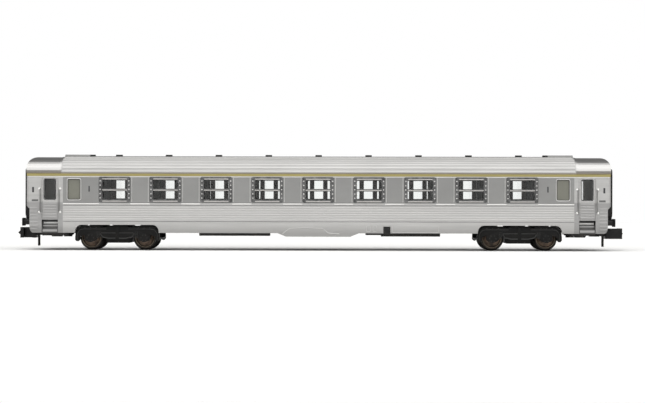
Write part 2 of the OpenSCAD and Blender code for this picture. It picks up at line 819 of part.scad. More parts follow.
// A pane that is pushed into an opening of the compartment side
module small_pane(x, w) {
  side_slab(x, small_pane_z + push_fit, w - 2 * push_fit, small_pane_h - 2 * push_fit,
    small_pane_r - push_fit, -half_w + door_depth + seat, -inner_half_w);
}

// The frosted panes of the toilets
module toilet_panes() {
  color("#787868") both_sides() both_ends() small_pane(-toilet_x, toilet_w);
}

// The clear panes of the entrance doors
module door_panes() {
  color("#b8c4c4", 0.35) both_sides() both_ends() small_pane(-door_x, door_pane_w);
}

// The door leaf behind the gangway at the -X end
module end_door() {
  color(dull_silver) difference() {
    block([-low_half_len + wall + push_fit, -end_door_w / 2 - lap, gangway_z + seat],
      [-low_half_len + wall + push_fit + end_door_t, end_door_w / 2 + lap,
        cantrail_z - lip_h - seat]);
    translate([0, 0, end_pane_z + end_pane_h / 2])
      along_x(-half_len, -low_half_len + wall + end_door_t + eps)
        polygon(round_rect(end_pane_w, end_pane_h, small_pane_r));
  }
}

module end_door_left() { at_end(false) end_door(); }
module end_door_right() { at_end(true) end_door(); }

// The small panes in the two end doors
module end_door_panes() {
  color("#b8c4c4", 0.35) both_ends() translate([0, 0, end_pane_z + end_pane_h / 2])
    along_x(-low_half_len + wall + push_fit + seat, -low_half_len + wall + push_fit + end_door_t)
      polygon(round_rect(end_pane_w - 2 * push_fit, end_pane_h - 2 * push_fit,
        small_pane_r - push_fit));
}

// The rubber ring round the passage at the -X end, shaped to the stepped end wall
module gangway() {
  color(black) difference() {
    along_x(-half_len - gangway_out, -low_half_len) {
      translate([0, gangway_z + gangway_h / 2]) difference() {
        polygon(round_rect(gangway_w, gangway_h, gangway_r));
        polygon(round_rect(gangway_w - 2 * gangway_border, gangway_h - 2 * gangway_border,
          gangway_r / 2));
      }
      translate([-gangway_foot_w / 2, gangway_foot_z])
        square([gangway_foot_w, gangway_z + gangway_border / 2 - gangway_foot_z]);
    }
    translate([-push_fit, 0, 0]) along_y(-half_w, half_w) side_outline(0);
    block([-half_len - push_fit, -half_w, waist_z + end_step], [0, half_w, roof_top_z]);
  }
}

module gangway_left() { at_end(false) gangway(); }
module gangway_right() { at_end(true) gangway(); }

// One buffer at the -X end: peg, collar, shank and rectangular plate
module buffer() {
  translate([0, 0, buffer_z]) {
    rod_x(buffer_peg_r, -low_half_len - bury, -low_half_len + wall - seat);
    rod_x(buffer_shank_r + collar, -low_half_len - collar, -low_half_len - push_fit);
    rod_x(buffer_shank_r, -buffer_face_x + buffer_t / 2, -low_half_len - bury);
    along_x(-buffer_face_x, -buffer_face_x + buffer_t)
      polygon(round_rect(buffer_w, buffer_h, buffer_r));
  }
}

// The two buffers of one end
module buffers() {
  color(black) for (y = [-buffer_gauge / 2, buffer_gauge / 2]) translate([0, y, 0]) buffer();
}

module buffers_left() { at_end(false) buffers(); }
module buffers_right() { at_end(true) buffers(); }

// The steps of one door at the -X end, with the footboard below them
module door_step() {
  back_y = step_y + well_depth;
  tread = (well_top_z - skirt_z) / 3;
  going = well_depth / 3;
  color(dull_silver) along_x_from(-door_x, well_w - 2 * push_fit)
    polygon([
      [step_y, skirt_z], [step_y, skirt_z + tread], [step_y + going, skirt_z + tread],
      [step_y + going, skirt_z + 2 * tread], [step_y + 2 * going, skirt_z + 2 * tread],
      [step_y + 2 * going, well_top_z - push_fit], [back_y, well_top_z - push_fit],
      [back_y, skirt_z]]);
  color(black) translate([-door_x + footboard_shift, 0, 0]) footboard();
  color(black) block([-door_x - well_w / 4, step_y + footboard_w / 3, skirt_z - 2 * push_fit],
    [-door_x + well_w / 4, step_y + footboard_w * 2 / 3, skirt_z + bury]);
}

// A footboard with the bracket below it, drawn about its middle
module footboard() {
  foot = bracket_len / 2 - bracket_slope;
  board_z = skirt_z - footboard_t;
  block([-footboard_len / 2, step_y, board_z],
    [footboard_len / 2, step_y + footboard_w, skirt_z - push_fit]);
  translate([bracket_shift, 0, 0]) along_y(step_y + seat, step_y + footboard_w - seat)
    polygon([[-bracket_len / 2, board_z + bury], [-foot, bracket_z], [foot, bracket_z],
      [bracket_len / 2, board_z + bury]]);
}

// A shape drawn in Y and Z, drawn out along X for len, centred on x
module along_x_from(x, len) {
  along_x(x - len / 2, x + len / 2) children();
}

// The steps of the two doors at one end
module door_steps() {
  both_sides() door_step();
}

module door_steps_left() { at_end(false) door_steps(); }
module door_steps_right() { at_end(true) door_steps(); }

// The floor plate with its bosses for the bogies and the couplers
module chassis() {
  plate_half_len = low_half_len - wall - push_fit;
  plate_half_w = inner_half_w - tuck_at(chassis_z) - push_fit;
  color(black) difference() {
    union() {
      block([-plate_half_len, -plate_half_w, chassis_z],
        [plate_half_len, plate_half_w, chassis_top_z]);
      both_ends() {
        translate([-bogie_x, 0, bogie_top_z + face_gap])
          cylinder(r = pivot_boss_r, h = chassis_z - bogie_top_z);
        translate([-arm_x, 0, arm_z + arm_t + face_gap])
          cylinder(r = arm_boss_r, h = chassis_z - arm_z - arm_t);
      }
      for (y = [-sill_y, sill_y])
        block([-sill_len / 2, y - sill_w / 2, chassis_z - sill_h],
          [sill_len / 2, y + sill_w / 2, chassis_z + chassis_t / 2]);
    }
    both_ends() {
      translate([-bogie_x, 0, bogie_top_z - eps])
        cylinder(r = pivot_r + push_fit, h = pivot_screw_len() + eps - bury);
      translate([-arm_x, 0, arm_z])
        cylinder(r = arm_screw_r + push_fit, h = arm_screw_len());
    }
    both_sides() both_ends() block([-door_x - well_w / 2, -half_w, chassis_z - eps],
      [-door_x + well_w / 2, step_y + well_depth + seat, chassis_top_z + eps]);
  }
}

// Length of a pivot screw above the bogie's frame, and of an arm screw above its arm
function pivot_screw_len() = chassis_top_z - bogie_top_z;
function arm_screw_len() = chassis_top_z - arm_z - bury;

// The steel plate that gives the coach its weight
module steel_weight() {
  color("#70706c") block([-weight_len / 2, -weight_w / 2, chassis_top_z],
    [weight_len / 2, weight_w / 2, chassis_top_z + weight_t]);
}

// The floor of the compartments, the corridor and the lobbies
module interior_floor() {
  reach = door_x - well_w / 2 - lap;
  color(brown) block([-reach, -room_y, floor_z], [reach, room_y, floor_top_z]);
}

// The walls between the compartments, and those of the toilets
module partitions() {
  color(brown) {
    for (i = [0:compartments]) {
      x = (i - compartments / 2) * pitch;
      block([x - partition_t / 2, -room_y, floor_top_z],
        [x + partition_t / 2, corridor_wall_y, partition_top_z]);
    }
    both_ends() block([-toilet_wall_x - partition_t, -room_y, floor_top_z],
      [-toilet_wall_x, corridor_wall_y, partition_top_z]);
  }
}

// The wall between compartments and corridor, with a doorway and two panes to each compartment
module corridor_wall() {
  reach = toilet_wall_x + partition_t;
  side_x = doorway_w / 2 + post_w + side_pane_w / 2;
  color(brown) difference() {
    block([-reach, corridor_wall_y, floor_top_z],
      [reach, corridor_wall_y + partition_t, partition_top_z]);
    for (x = window_xs(), c = [[0, doorway_w], [-side_x, side_pane_w], [side_x, side_pane_w]])
      block([x + c[0] - c[1] / 2, 0, corridor_sill_z],
        [x + c[0] + c[1] / 2, half_w, corridor_head_z]);
  }
}

// One bench, with its back to the partition at +cell_half from its compartment's middle
module bench() {
  back = cell_half - push_fit;
  along_y(-room_y + seat, corridor_wall_y - seat)
    polygon([
      [back, floor_top_z], [back, floor_top_z + bench_back_h],
      [back - bench_back_t * 0.6, floor_top_z + bench_back_h],
      [back - bench_back_t, floor_top_z + bench_seat_h + lap],
      [back - bench_depth, floor_top_z + bench_seat_h],
      [back - bench_depth, floor_top_z + bench_seat_h * 0.6],
      [back - bench_depth + 1.5 * lap, floor_top_z]]);
}

// Two benches that face each other in each compartment
module benches() {
  color("#54463a") for (x = window_xs()) translate([x, 0, 0]) both_ends() bench();
}

// A box that hangs from the chassis plate behind the skirt
module hung_box(x, len, z) {
  block([x - len / 2, hung_y, z], [x + len / 2, hung_y + box_w, chassis_z]);
}

// The battery boxes, one on each side, turned about the coach's middle
module battery_boxes() {
  color(black) both_turns() hung_box(-battery_x, battery_len, battery_z);
}

// The cabinets, with the dark socket that shows through the skirt
module cabinets() {
  color(black) both_turns() {
    hung_box(cabinet_x, cabinet_len, cabinet_z);
    block([socket_x, -half_w + skirt_tuck, socket_z],
      [socket_x + socket_w, hung_y + bury, socket_top_z]);
  }
}

// The two air tanks below the middle of the floor
module air_tanks() {
  color(black) for (y = [-1, 1]) translate([0, y * (tank_r + lap), chassis_z - tank_r - push_fit])
    rod_x(tank_r, -tank_len / 2, tank_len / 2);
}

// The screws that hold the bogies
module pivot_screws() {
  web_z = bogie_top_z - pivot_web_t;
  color("#77746c") both_ends() translate([-bogie_x, 0, 0]) difference() {
    union() {
      translate([0, 0, web_z - face_gap - pivot_head_t]) cylinder(r = pivot_head_r, h = pivot_head_t);
      translate([0, 0, web_z - face_gap - pivot_head_t / 2])
        cylinder(r = pivot_r, h = pivot_web_t + pivot_screw_len() + pivot_head_t / 2 - 2 * bury);
    }
    block([-pivot_head_r - eps, -slot_w / 2, web_z - face_gap - pivot_head_t - eps],
      [pivot_head_r + eps, slot_w / 2, web_z - face_gap - pivot_head_t * 0.6]);
  }
}

// The screws that hold the coupler arms
module arm_screws() {
  head_top = arm_z - face_gap;
  color("#77746c") both_ends() translate([-arm_x, 0, 0]) difference() {
    union() {
      translate([0, 0, head_top - arm_head_t]) cylinder(r = arm_head_r, h = arm_head_t);
      translate([0, 0, head_top - arm_head_t / 2])
        cylinder(r = arm_screw_r, h = arm_screw_len() + arm_head_t / 2 - bury);
    }
    block([-arm_head_r - eps, -slot_w / 2, head_top - arm_head_t - eps],
      [arm_head_r + eps, slot_w / 2, head_top - arm_head_t * 0.6]);
  }
}

// Half of a side frame's outline, from its middle to one end, then back along its top
function side_frame_half() =
  let (e = bogie_len / 2, a = wheelbase / 2, g = guard_w / 2)
    [
      [0, bow_z], [bow_len / 4, bow_z + bow_rise / 5], [bow_len / 2, bow_z + bow_rise],
      [a - g - bevel, bow_z + bow_rise + seat], [a - g, guard_z + bevel],
      [a - g + bevel, guard_z], [a + g - bevel, guard_z], [a + g, guard_z + bevel],
      [a + g, beam_z], [e - strap_w, beam_z - bevel], [e - strap_w, strap_z + bevel],
      [e - strap_w + bevel, strap_z], [e - bevel, strap_z], [e, strap_z + bevel],
      [e, beam_z - bevel], [e - 2 * seat, beam_z + 3 * bevel], [e - strap_w, beam_top_z - bevel],
      [e - strap_w - bevel, beam_top_z], [a - dip_half_w, beam_top_z],
      [a - dip_half_w - bevel, beam_top_z - dip_h], [centre_w / 2 + bevel, beam_top_z - dip_h],
      [centre_w / 2, beam_top_z], [0, beam_top_z]];

// A list of points and its mirror image, as one closed outline
function mirrored(points) = concat(points, [for (i = [len(points) - 2:-1:1]) [-points[i][0], points[i][1]]]);

// A bogie's frame with both side frames, drawn about its pivot
module bogie_frame() {
  cover_y = bogie_w / 2 + cover_out;
  color(black) difference() {
    union() {
      both_sides() {
        along_y(-bogie_w / 2, -frame_y) polygon(mirrored(side_frame_half()));
        for (x = [-wheelbase / 2, wheelbase / 2]) translate([x, 0, axle_z])
          rod_y(axle_box_r, -cover_y, -frame_y - side_frame_t / 2);
        block([-damper_w / 2, -cover_y, bow_z + seat],
          [damper_w / 2, -frame_y - side_frame_t / 2, beam_top_z - bevel]);
      }
      block([-block_len / 2, -frame_y - side_frame_t / 4, bow_z + bevel],
        [block_len / 2, frame_y + side_frame_t / 4, bogie_top_z]);
      block([-block_len / 2, -keel_w / 2, block_z], [block_len / 2, keel_w / 2, bow_z + 2 * bevel]);
      both_ends() block([-bogie_len / 2, -frame_y - side_frame_t / 4, strap_z + bevel],
        [-bogie_len / 2 + end_bar_t, frame_y + side_frame_t / 4, beam_z - 2 * bevel]);
    }
    translate([0, 0, -eps])
      cylinder(r = pivot_head_r + bury, h = bogie_top_z - pivot_web_t + eps);
    cylinder(r = pivot_r + running_fit, h = bogie_top_z + eps);
    for (x = [-wheelbase / 2, wheelbase / 2]) translate([x, 0, axle_z])
      rod_y(journal_r + running_fit, -frame_y - journal_len - face_gap,
        frame_y + journal_len + face_gap);
  }
}

module bogie_frame_left() { translate([-bogie_x, 0, 0]) bogie_frame(); }
module bogie_frame_right() { translate([bogie_x, 0, 0]) bogie_frame(); }

// Places of the four axles, numbered from the -X end
function axle_x(i) = (i < 3 ? -1 : 1) * bogie_x + (i % 2 == 1 ? -1 : 1) * wheelbase / 2;

// The profile of one wheel, from its inner face outwards, with the axle along Y
module wheel() {
  in = back_to_back / 2;
  out = in + wheel_w;
  rotate([90, 0, 0]) rotate_extrude($fn = 64) polygon([
    [axle_r + press_gap, in], [flange_r - flange_t / 4, in], [flange_r, in + flange_t * 0.4],
    [tread_r + cone, in + flange_t], [tread_r - cone, out], [rim_r, out],
    [rim_r - seat, out - dish], [hub_r + seat, out - dish], [hub_r, out - dish * 0.2],
    [axle_r + press_gap, out - dish * 0.2]]);
}

// The two wheels of axle i
module wheels(i) {
  color(bronze) translate([axle_x(i), 0, axle_z]) both_sides() wheel();
}

// Axle i, with a thin journal at each end
module axle(i) {
  shoulder = frame_y - face_gap * 2;
  color("#5a5650") translate([axle_x(i), 0, axle_z]) {
    rod_y(axle_r, -shoulder, shoulder);
    rod_y(journal_r, -frame_y - journal_len, frame_y + journal_len);
  }
}

module wheels_1() { wheels(1); }
module wheels_2() { wheels(2); }
module wheels_3() { wheels(3); }
module wheels_4() { wheels(4); }
module axle_1() { axle(1); }
module axle_2() { axle(2); }
module axle_3() { axle(3); }
module axle_4() { axle(4); }

// A coupler arm at the -X end, reaching out by len to the hook's hinge
module coupler_arm(len) {
  fork = shank_w / 2 + face_gap;
  web_x = -len + shank_h / 2 + 2 * seat;
  low_z = arm_z - cheek_out;
  high_z = arm_z + arm_t + cheek_out;
  color(black) translate([-arm_x, 0, 0]) difference() {
    union() {
      translate([0, 0, arm_z]) cylinder(r = arm_eye_r, h = arm_t);
      block([web_x, -arm_w / 2, arm_z], [0, arm_w / 2, arm_z + arm_t]);
      block([web_x, -fork - cheek_t, low_z], [web_x + web_t, fork + cheek_t, high_z]);
      both_sides() block([-len - cheek_reach, -fork - cheek_t, low_z],
        [web_x + seat, -fork, high_z]);
    }
    translate([0, 0, arm_z - eps]) cylinder(r = arm_screw_r + running_fit, h = arm_t + 2 * eps);
    translate([-len, 0, hinge_z])
      rod_y(hinge_r + running_fit, -fork - cheek_t - eps, fork + cheek_t + eps);
  }
}

module coupler_arm_left() { at_end(false) coupler_arm(arm_len); }
module coupler_arm_right() { at_end(true) coupler_arm(arm_len + drawn_out); }

// A coupler hook at the -X end, drawn about its hinge: shank, C-shaped head, nose and peg
module coupler_hook(len) {
  back = -head_back;
  front = -head_back - head_len;
  mid_z = head_z + head_h / 2 - hinge_z;
  low = head_z - hinge_z;
  high = low + head_h;
  pin_reach = shank_w / 2 + face_gap + cheek_t - push_fit;
  color(black) translate([-arm_x - len, 0, hinge_z]) {
    rod_y(shank_h / 2, -shank_w / 2, shank_w / 2);
    rod_y(hinge_r, -pin_reach, pin_reach);
    block([back - seat, -shank_w / 2, -shank_h / 2], [0, shank_w / 2, shank_h / 2]);
    block([back - head_t, -head_w / 2, low], [back, head_w / 2, high]);
    block([front, head_w / 2 - head_t, low], [back - seat, head_w / 2, high]);
    block([front, -nose_w, low], [front + head_t, head_w / 2 - seat, high]);
    along_y(-nose_w, 0) polygon([
      [front + seat, mid_z - nose_h / 2], [front + seat, mid_z + nose_h / 2],
      [front, mid_z + nose_h / 2], [front - nose_len, mid_z], [front, mid_z - nose_h / 2]]);
    translate([-peg_x, 0, peg_z - hinge_z]) cylinder(r = peg_r, h = hinge_z - peg_z);
  }
}

module coupler_hook_left() { at_end(false) coupler_hook(arm_len); }
module coupler_hook_right() { at_end(true) coupler_hook(arm_len + drawn_out); }

body_shell();
roof();
roof_vents();
roof_vent_boxes();
window_frames_compartment();
window_frames_corridor();
glazing_compartment();
glazing_corridor();
toilet_panes();
door_panes();
end_door_left();
end_door_right();
end_door_panes();
gangway_left();
gangway_right();
buffers_left();
buffers_right();
door_steps_left();
door_steps_right();
chassis();
steel_weight();
interior_floor();
partitions();
corridor_wall();
benches();
battery_boxes();
cabinets();
air_tanks();
pivot_screws();
arm_screws();
bogie_frame_left();
bogie_frame_right();
wheels_1();
wheels_2();
wheels_3();
wheels_4();
axle_1();
axle_2();
axle_3();
axle_4();
coupler_arm_left();
coupler_arm_right();
coupler_hook_left();
coupler_hook_right();
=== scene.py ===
# %% [markdown]
# # A stainless-steel passenger coach, dressed over its CAD frame
# The coach is a small display model: a silver moulded body with riveted window frames, a ribbed
# roof and side, black bogies and hook couplers. The CAD frame fixes every size and every joint.
# This lesson adds what a careful model maker would add: ribs, rivets, beads, handrails, rounded
# edges, and a finish for each surface. Sizes below are in millimetres, turned into metres by MM,
# and a colour is its light tone and its dark tone.

# %% Load the frame
import math

import bmesh
import bpy
from mathutils import Matrix, Vector


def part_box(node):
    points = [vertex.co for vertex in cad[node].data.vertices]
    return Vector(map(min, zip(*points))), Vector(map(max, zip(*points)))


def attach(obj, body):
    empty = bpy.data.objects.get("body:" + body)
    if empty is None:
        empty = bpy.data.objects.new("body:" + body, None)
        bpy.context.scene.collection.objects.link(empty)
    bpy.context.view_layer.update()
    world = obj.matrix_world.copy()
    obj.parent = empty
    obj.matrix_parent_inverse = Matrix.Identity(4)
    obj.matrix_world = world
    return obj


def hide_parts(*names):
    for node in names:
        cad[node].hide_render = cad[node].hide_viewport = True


MM = 0.001
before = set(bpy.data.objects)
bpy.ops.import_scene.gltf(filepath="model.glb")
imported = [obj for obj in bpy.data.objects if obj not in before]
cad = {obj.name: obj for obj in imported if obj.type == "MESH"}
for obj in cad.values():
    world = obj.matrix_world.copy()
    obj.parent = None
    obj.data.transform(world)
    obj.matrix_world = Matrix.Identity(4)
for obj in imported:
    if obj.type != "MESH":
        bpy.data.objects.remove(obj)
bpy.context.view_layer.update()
scene = bpy.context.scene
print("CAD nodes:", len(cad))

# %% [markdown]
# ## Reading places off the frame
# A relief piece has to sit on the wall it belongs to, so its place comes from the frame's own
# boxes. Many nodes hold several loose parts, such as nine window frames, and each loose part's
# box gives one place. Welding the mesh and walking from vertex to vertex finds those parts.


# %% Boxes of nodes and of their loose parts
def welded(name):
    """A bmesh copy of a CAD node with its doubled vertices merged."""
    bm = bmesh.new()
    bm.from_mesh(cad[name].data)
    bmesh.ops.remove_doubles(bm, verts=bm.verts, dist=0.0005 * MM)
    return bm


def loose_parts(name):
    """(centre, size) in mm of each loose part of a CAD node, from -X to +X."""
    bm = welded(name)
    left = set(bm.verts)
    found = []
    while left:
        group, edge = [], [left.pop()]
        while edge:
            vert = edge.pop()
            group.append(vert.co)
            for link in vert.link_edges:
                other = link.other_vert(vert)
                if other in left:
                    left.remove(other)
                    edge.append(other)
        low = Vector([min(co[i] for co in group) for i in range(3)])
        high = Vector([max(co[i] for co in group) for i in range(3)])
        found.append(((low + high) / 2 / MM, (high - low) / MM))
    bm.free()
    return sorted(found, key=lambda part: (round(part[0].x, 3), part[0].y))


shell_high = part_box("body_shell")[1] / MM
SIDE = shell_high.y
HALF = shell_high.x
CANTRAIL = shell_high.z
windows_near = loose_parts("window_frames_compartment")
windows_far = loose_parts("window_frames_corridor")
doors = [part for part in loose_parts("door_panes") if part[0].y < 0]
toilets = [part for part in loose_parts("toilet_panes") if part[0].y < 0]
print(f"side at {SIDE:.2f}, {len(windows_near)} windows, {len(doors)} doors a side")

# %% [markdown]
# ## One helper for every node tree
# Shader trees and geometry trees are built the same way: add a node, set its properties, then
# give each input a value or a link. One helper does all three, which keeps the trees readable.


# %% Node and group helpers
def put(tree, kind, inputs=None, **props):
    """Adds a node. An input's value is a plain value, or the output socket that feeds it."""
    made = tree.nodes.new(kind)
    for key, value in props.items():
        setattr(made, key, value)
    for key, value in (inputs or {}).items():
        if isinstance(value, bpy.types.NodeSocket):
            tree.links.new(value, made.inputs[key])
        else:
            made.inputs[key].default_value = value
    return made


def new_group(name, kind, inputs, outputs):
    """A node group with named sockets. Returns the tree, its input node and its output node."""
    tree = bpy.data.node_groups.new(name, kind)
    for label, socket, value in inputs:
        made = tree.interface.new_socket(label, in_out="INPUT", socket_type="NodeSocket" + socket)
        if value is not None:
            made.default_value = value
    for label, socket in outputs:
        tree.interface.new_socket(label, in_out="OUTPUT", socket_type="NodeSocket" + socket)
    return tree, tree.nodes.new("NodeGroupInput"), tree.nodes.new("NodeGroupOutput")


def shade(tree, group, inputs=None):
    """Places a shader node group in a material with its own values."""
    return put(tree, "ShaderNodeGroup", inputs, node_tree=group)


# %% [markdown]
# ## Effects that many finishes share
# Painted metal and moulded plastic are never one flat colour. Four small groups make what the
# surfaces have in common: slow patches of tone, a fine directional or pebbled grain, dust that
# settles low down, and a soft-edged band along one direction. The first three read Object
# coordinates, so the pattern is fixed to the piece, and the band works on any value it is given.
# Image textures could do this too, but groups need no files and take new values in each finish.

# %% Patches of tone
patches, g_in, g_out = new_group("tone_patches", "ShaderNodeTree", [
    ("Light", "Color", (0.6, 0.6, 0.6, 1)), ("Dark", "Color", (0.4, 0.4, 0.4, 1)),
    ("Stretch", "Vector", (200.0, 200.0, 200.0)), ("Contrast", "Float", 1.0),
], [("Color", "Color"), ("Mask", "Float")])
coords = put(patches, "ShaderNodeTexCoord")
scaled = put(patches, "ShaderNodeVectorMath", {
    0: coords.outputs["Object"], 1: g_in.outputs["Stretch"]}, operation="MULTIPLY")
noise = put(patches, "ShaderNodeTexNoise", {
    "Vector": scaled.outputs[0], "Scale": 1.0, "Detail": 4.0, "Roughness": 0.55})
MIDDLE = 0.5
centred = put(patches, "ShaderNodeMath", {0: noise.outputs["Fac"], 1: MIDDLE}, operation="SUBTRACT")
widened = put(patches, "ShaderNodeMath", {
    0: centred.outputs[0], 1: g_in.outputs["Contrast"], 2: MIDDLE},
    operation="MULTIPLY_ADD", use_clamp=True)
mixed = put(patches, "ShaderNodeMix", {
    0: widened.outputs[0], 6: g_in.outputs["Dark"], 7: g_in.outputs["Light"]}, data_type="RGBA")
patches.links.new(mixed.outputs[2], g_out.inputs["Color"])
patches.links.new(widened.outputs[0], g_out.inputs["Mask"])
print("tone patches:", len(patches.nodes), "nodes")

# %% Fine grain
grain, g_in, g_out = new_group("fine_grain", "ShaderNodeTree", [
    ("Stretch", "Vector", (8000.0, 8000.0, 8000.0)), ("Smooth", "Float", 0.35), ("Rough", "Float", 0.5),
], [("Height", "Float"), ("Roughness", "Float")])
coords = put(grain, "ShaderNodeTexCoord")
scaled = put(grain, "ShaderNodeVectorMath", {
    0: coords.outputs["Object"], 1: g_in.outputs["Stretch"]}, operation="MULTIPLY")
noise = put(grain, "ShaderNodeTexNoise", {
    "Vector": scaled.outputs[0], "Scale": 1.0, "Detail": 2.0, "Roughness": 0.6})
spread = put(grain, "ShaderNodeMapRange", {
    "Value": noise.outputs["Fac"], "From Min": 0.3, "From Max": 0.7,
    "To Min": g_in.outputs["Smooth"], "To Max": g_in.outputs["Rough"]})
grain.links.new(noise.outputs["Fac"], g_out.inputs["Height"])
grain.links.new(spread.outputs["Result"], g_out.inputs["Roughness"])
print("fine grain:", len(grain.nodes), "nodes")

# %% Dust that settles low down
dust, g_in, g_out = new_group("low_dust", "ShaderNodeTree", [
    ("Color", "Color", (0.1, 0.1, 0.1, 1)), ("Dust", "Color", (0.16, 0.13, 0.1, 1)),
    ("Reach", "Float", 8 * MM), ("Amount", "Float", 0.5),
], [("Color", "Color"), ("Mask", "Float")])
coords = put(dust, "ShaderNodeTexCoord")
axes = put(dust, "ShaderNodeSeparateXYZ", {0: coords.outputs["Object"]})
fade = put(dust, "ShaderNodeMapRange", {
    "Value": axes.outputs["Z"], "From Min": 0.0, "From Max": g_in.outputs["Reach"],
    "To Min": 1.0, "To Max": 0.0})
noise = put(dust, "ShaderNodeTexNoise", {
    "Vector": coords.outputs["Object"], "Scale": 700.0, "Detail": 5.0, "Roughness": 0.7})
speckle = put(dust, "ShaderNodeMapRange", {
    "Value": noise.outputs["Fac"], "From Min": 0.42, "From Max": 0.66})
both = put(dust, "ShaderNodeMath", {0: fade.outputs[0], 1: speckle.outputs[0]}, operation="MULTIPLY")
amount = put(dust, "ShaderNodeMath", {0: both.outputs[0], 1: g_in.outputs["Amount"]},
             operation="MULTIPLY", use_clamp=True)
mixed = put(dust, "ShaderNodeMix", {
    0: amount.outputs[0], 6: g_in.outputs["Color"], 7: g_in.outputs["Dust"]}, data_type="RGBA")
dust.links.new(mixed.outputs[2], g_out.inputs["Color"])
dust.links.new(amount.outputs[0], g_out.inputs["Mask"])
print("low dust:", len(dust.nodes), "nodes")

# %% A soft-edged band between two values
band, g_in, g_out = new_group("soft_band", "ShaderNodeTree", [
    ("Value", "Float", 0.0), ("From", "Float", 0.0), ("To", "Float", 1.0), ("Soft", "Float", 0.1 * MM),
], [("Mask", "Float")])
rise_end = put(band, "ShaderNodeMath", {
    0: g_in.outputs["From"], 1: g_in.outputs["Soft"]}, operation="ADD")
fall_end = put(band, "ShaderNodeMath", {
    0: g_in.outputs["To"], 1: g_in.outputs["Soft"]}, operation="ADD")
rise = put(band, "ShaderNodeMapRange", {
    "Value": g_in.outputs["Value"], "From Min": g_in.outputs["From"], "From Max": rise_end.outputs[0]})
fall = put(band, "ShaderNodeMapRange", {
    "Value": g_in.outputs["Value"], "From Min": g_in.outputs["To"], "From Max": fall_end.outputs[0],
    "To Min": 1.0, "To Max": 0.0})
inside = put(band, "ShaderNodeMath", {0: rise.outputs[0], 1: fall.outputs[0]}, operation="MULTIPLY")
band.links.new(inside.outputs[0], g_out.inputs["Mask"])
print("shader groups:", [g.name for g in bpy.data.node_groups])

# %% [markdown]
# ## A finish for each surface
# Every finish starts from the same recipe: patches of tone feed the colour, the grain feeds the
# roughness and a small bump, and low parts take some dust. What differs is the values: brushed
# silver has a grain drawn out along the coach, moulded plastic a pebbled one.


# %% The recipe for a finish
PEBBLED = (9000.0, 9000.0, 9000.0)
DRAWN = (250.0, 9000.0, 14000.0)


def finish(name, light, dark, smooth, rough, metallic=0.0, stretch=(180.0, 180.0, 320.0), contrast=1.6,
           grain_stretch=PEBBLED, bump=0.25, depth=0.01, dusty=0.0, reach=8.0, gloss=0.5):
    """A material from the shared groups. Returns the material, its tree and its shader.
    light and dark are the two ends of its colour, smooth and rough those of its roughness."""
    mat = bpy.data.materials.new(name)
    mat.use_nodes = True
    tree = mat.node_tree
    shader = tree.nodes["Principled BSDF"]
    tone = shade(tree, patches, {
        "Light": (*light, 1), "Dark": (*dark, 1), "Stretch": stretch, "Contrast": contrast})
    colour = tone.outputs["Color"]
    if dusty:
        low = shade(tree, dust, {"Color": colour, "Reach": reach * MM, "Amount": dusty})
        colour = low.outputs["Color"]
    fine = shade(tree, grain, {"Stretch": grain_stretch, "Smooth": smooth, "Rough": rough})
    relief = put(tree, "ShaderNodeBump", {
        "Strength": bump, "Distance": depth * MM, "Height": fine.outputs["Height"]})
    tree.links.new(colour, shader.inputs["Base Color"])
    tree.links.new(fine.outputs["Roughness"], shader.inputs["Roughness"])
    tree.links.new(relief.outputs["Normal"], shader.inputs["Normal"])
    shader.inputs["Metallic"].default_value = metallic
    shader.inputs["Specular IOR Level"].default_value = gloss
    return mat, tree, shader


# %% Plain finishes
black = dict(contrast=1.3, gloss=0.22)
finishes = {
    "grey_roof_fittings": finish(
        "roof_fitting_grey", (0.3, 0.3, 0.295), (0.18, 0.18, 0.176), 0.4, 0.55, 0.3),
    "window_frame_metal": finish(
        "window_frame_metal", (0.16, 0.16, 0.16), (0.045, 0.045, 0.045), 0.35, 0.5, 0.5,
        stretch=(900.0, 900.0, 900.0), contrast=2.5),
    "grey_door": finish("end_door_grey", (0.3, 0.3, 0.29), (0.22, 0.22, 0.21), 0.4, 0.55, 0.3),
    # The steps' near-black is painted shade of the step well.
    "grey_steps": finish(
        "step_well_painted_shade", (0.1, 0.1, 0.1), (0.06, 0.06, 0.06), 0.4, 0.6, 0.4, dusty=0.4, reach=9.0),
    "black_rubber_look": finish(
        "gangway_rubber", (0.014, 0.014, 0.016), (0.007, 0.007, 0.008), 0.6, 0.8,
        dusty=0.2, reach=20.0, **black),
    "black_plastic": finish(
        "underframe_black", (0.014, 0.014, 0.014), (0.006, 0.006, 0.006), 0.42, 0.6,
        dusty=0.25, **black),
    "bogie_plastic": finish(
        "bogie_black", (0.007, 0.007, 0.007), (0.003, 0.003, 0.003), 0.4, 0.58,
        bump=0.35, dusty=0.08, reach=6.0, contrast=1.3, gloss=0.14),
    "coupler_plastic": finish(
        "coupler_black", (0.01, 0.01, 0.01), (0.005, 0.005, 0.005), 0.36, 0.5,
        bump=0.2, dusty=0.06, reach=6.0, **black),
    "weight_steel": finish("weight_steel", (0.42, 0.42, 0.41), (0.28, 0.28, 0.27), 0.3, 0.5, 1.0),
    "brown_interior": finish(
        "interior_brown", (0.07, 0.05, 0.036), (0.042, 0.03, 0.022), 0.45, 0.65, bump=0.3),
    "seat_plastic": finish(
        "seat_moulding", (0.12, 0.085, 0.06), (0.07, 0.05, 0.036), 0.5, 0.7, bump=0.5, depth=0.02),
    "screw_steel": finish("screw_steel", (0.07, 0.068, 0.065), (0.04, 0.039, 0.037), 0.3, 0.45, 0.8),
    "axle_metal": finish("axle_metal", (0.07, 0.06, 0.052), (0.03, 0.026, 0.022), 0.35, 0.5, 0.7),
    "wheel_metal": finish(
        "wheel_browned", (0.032, 0.025, 0.019), (0.012, 0.01, 0.008), 0.34, 0.5, 0.6,
        stretch=(600.0, 600.0, 600.0), dusty=0.2, reach=6.0),
}
materials = {slot: made[0] for slot, made in finishes.items()}
print("plain finishes:", len(materials))
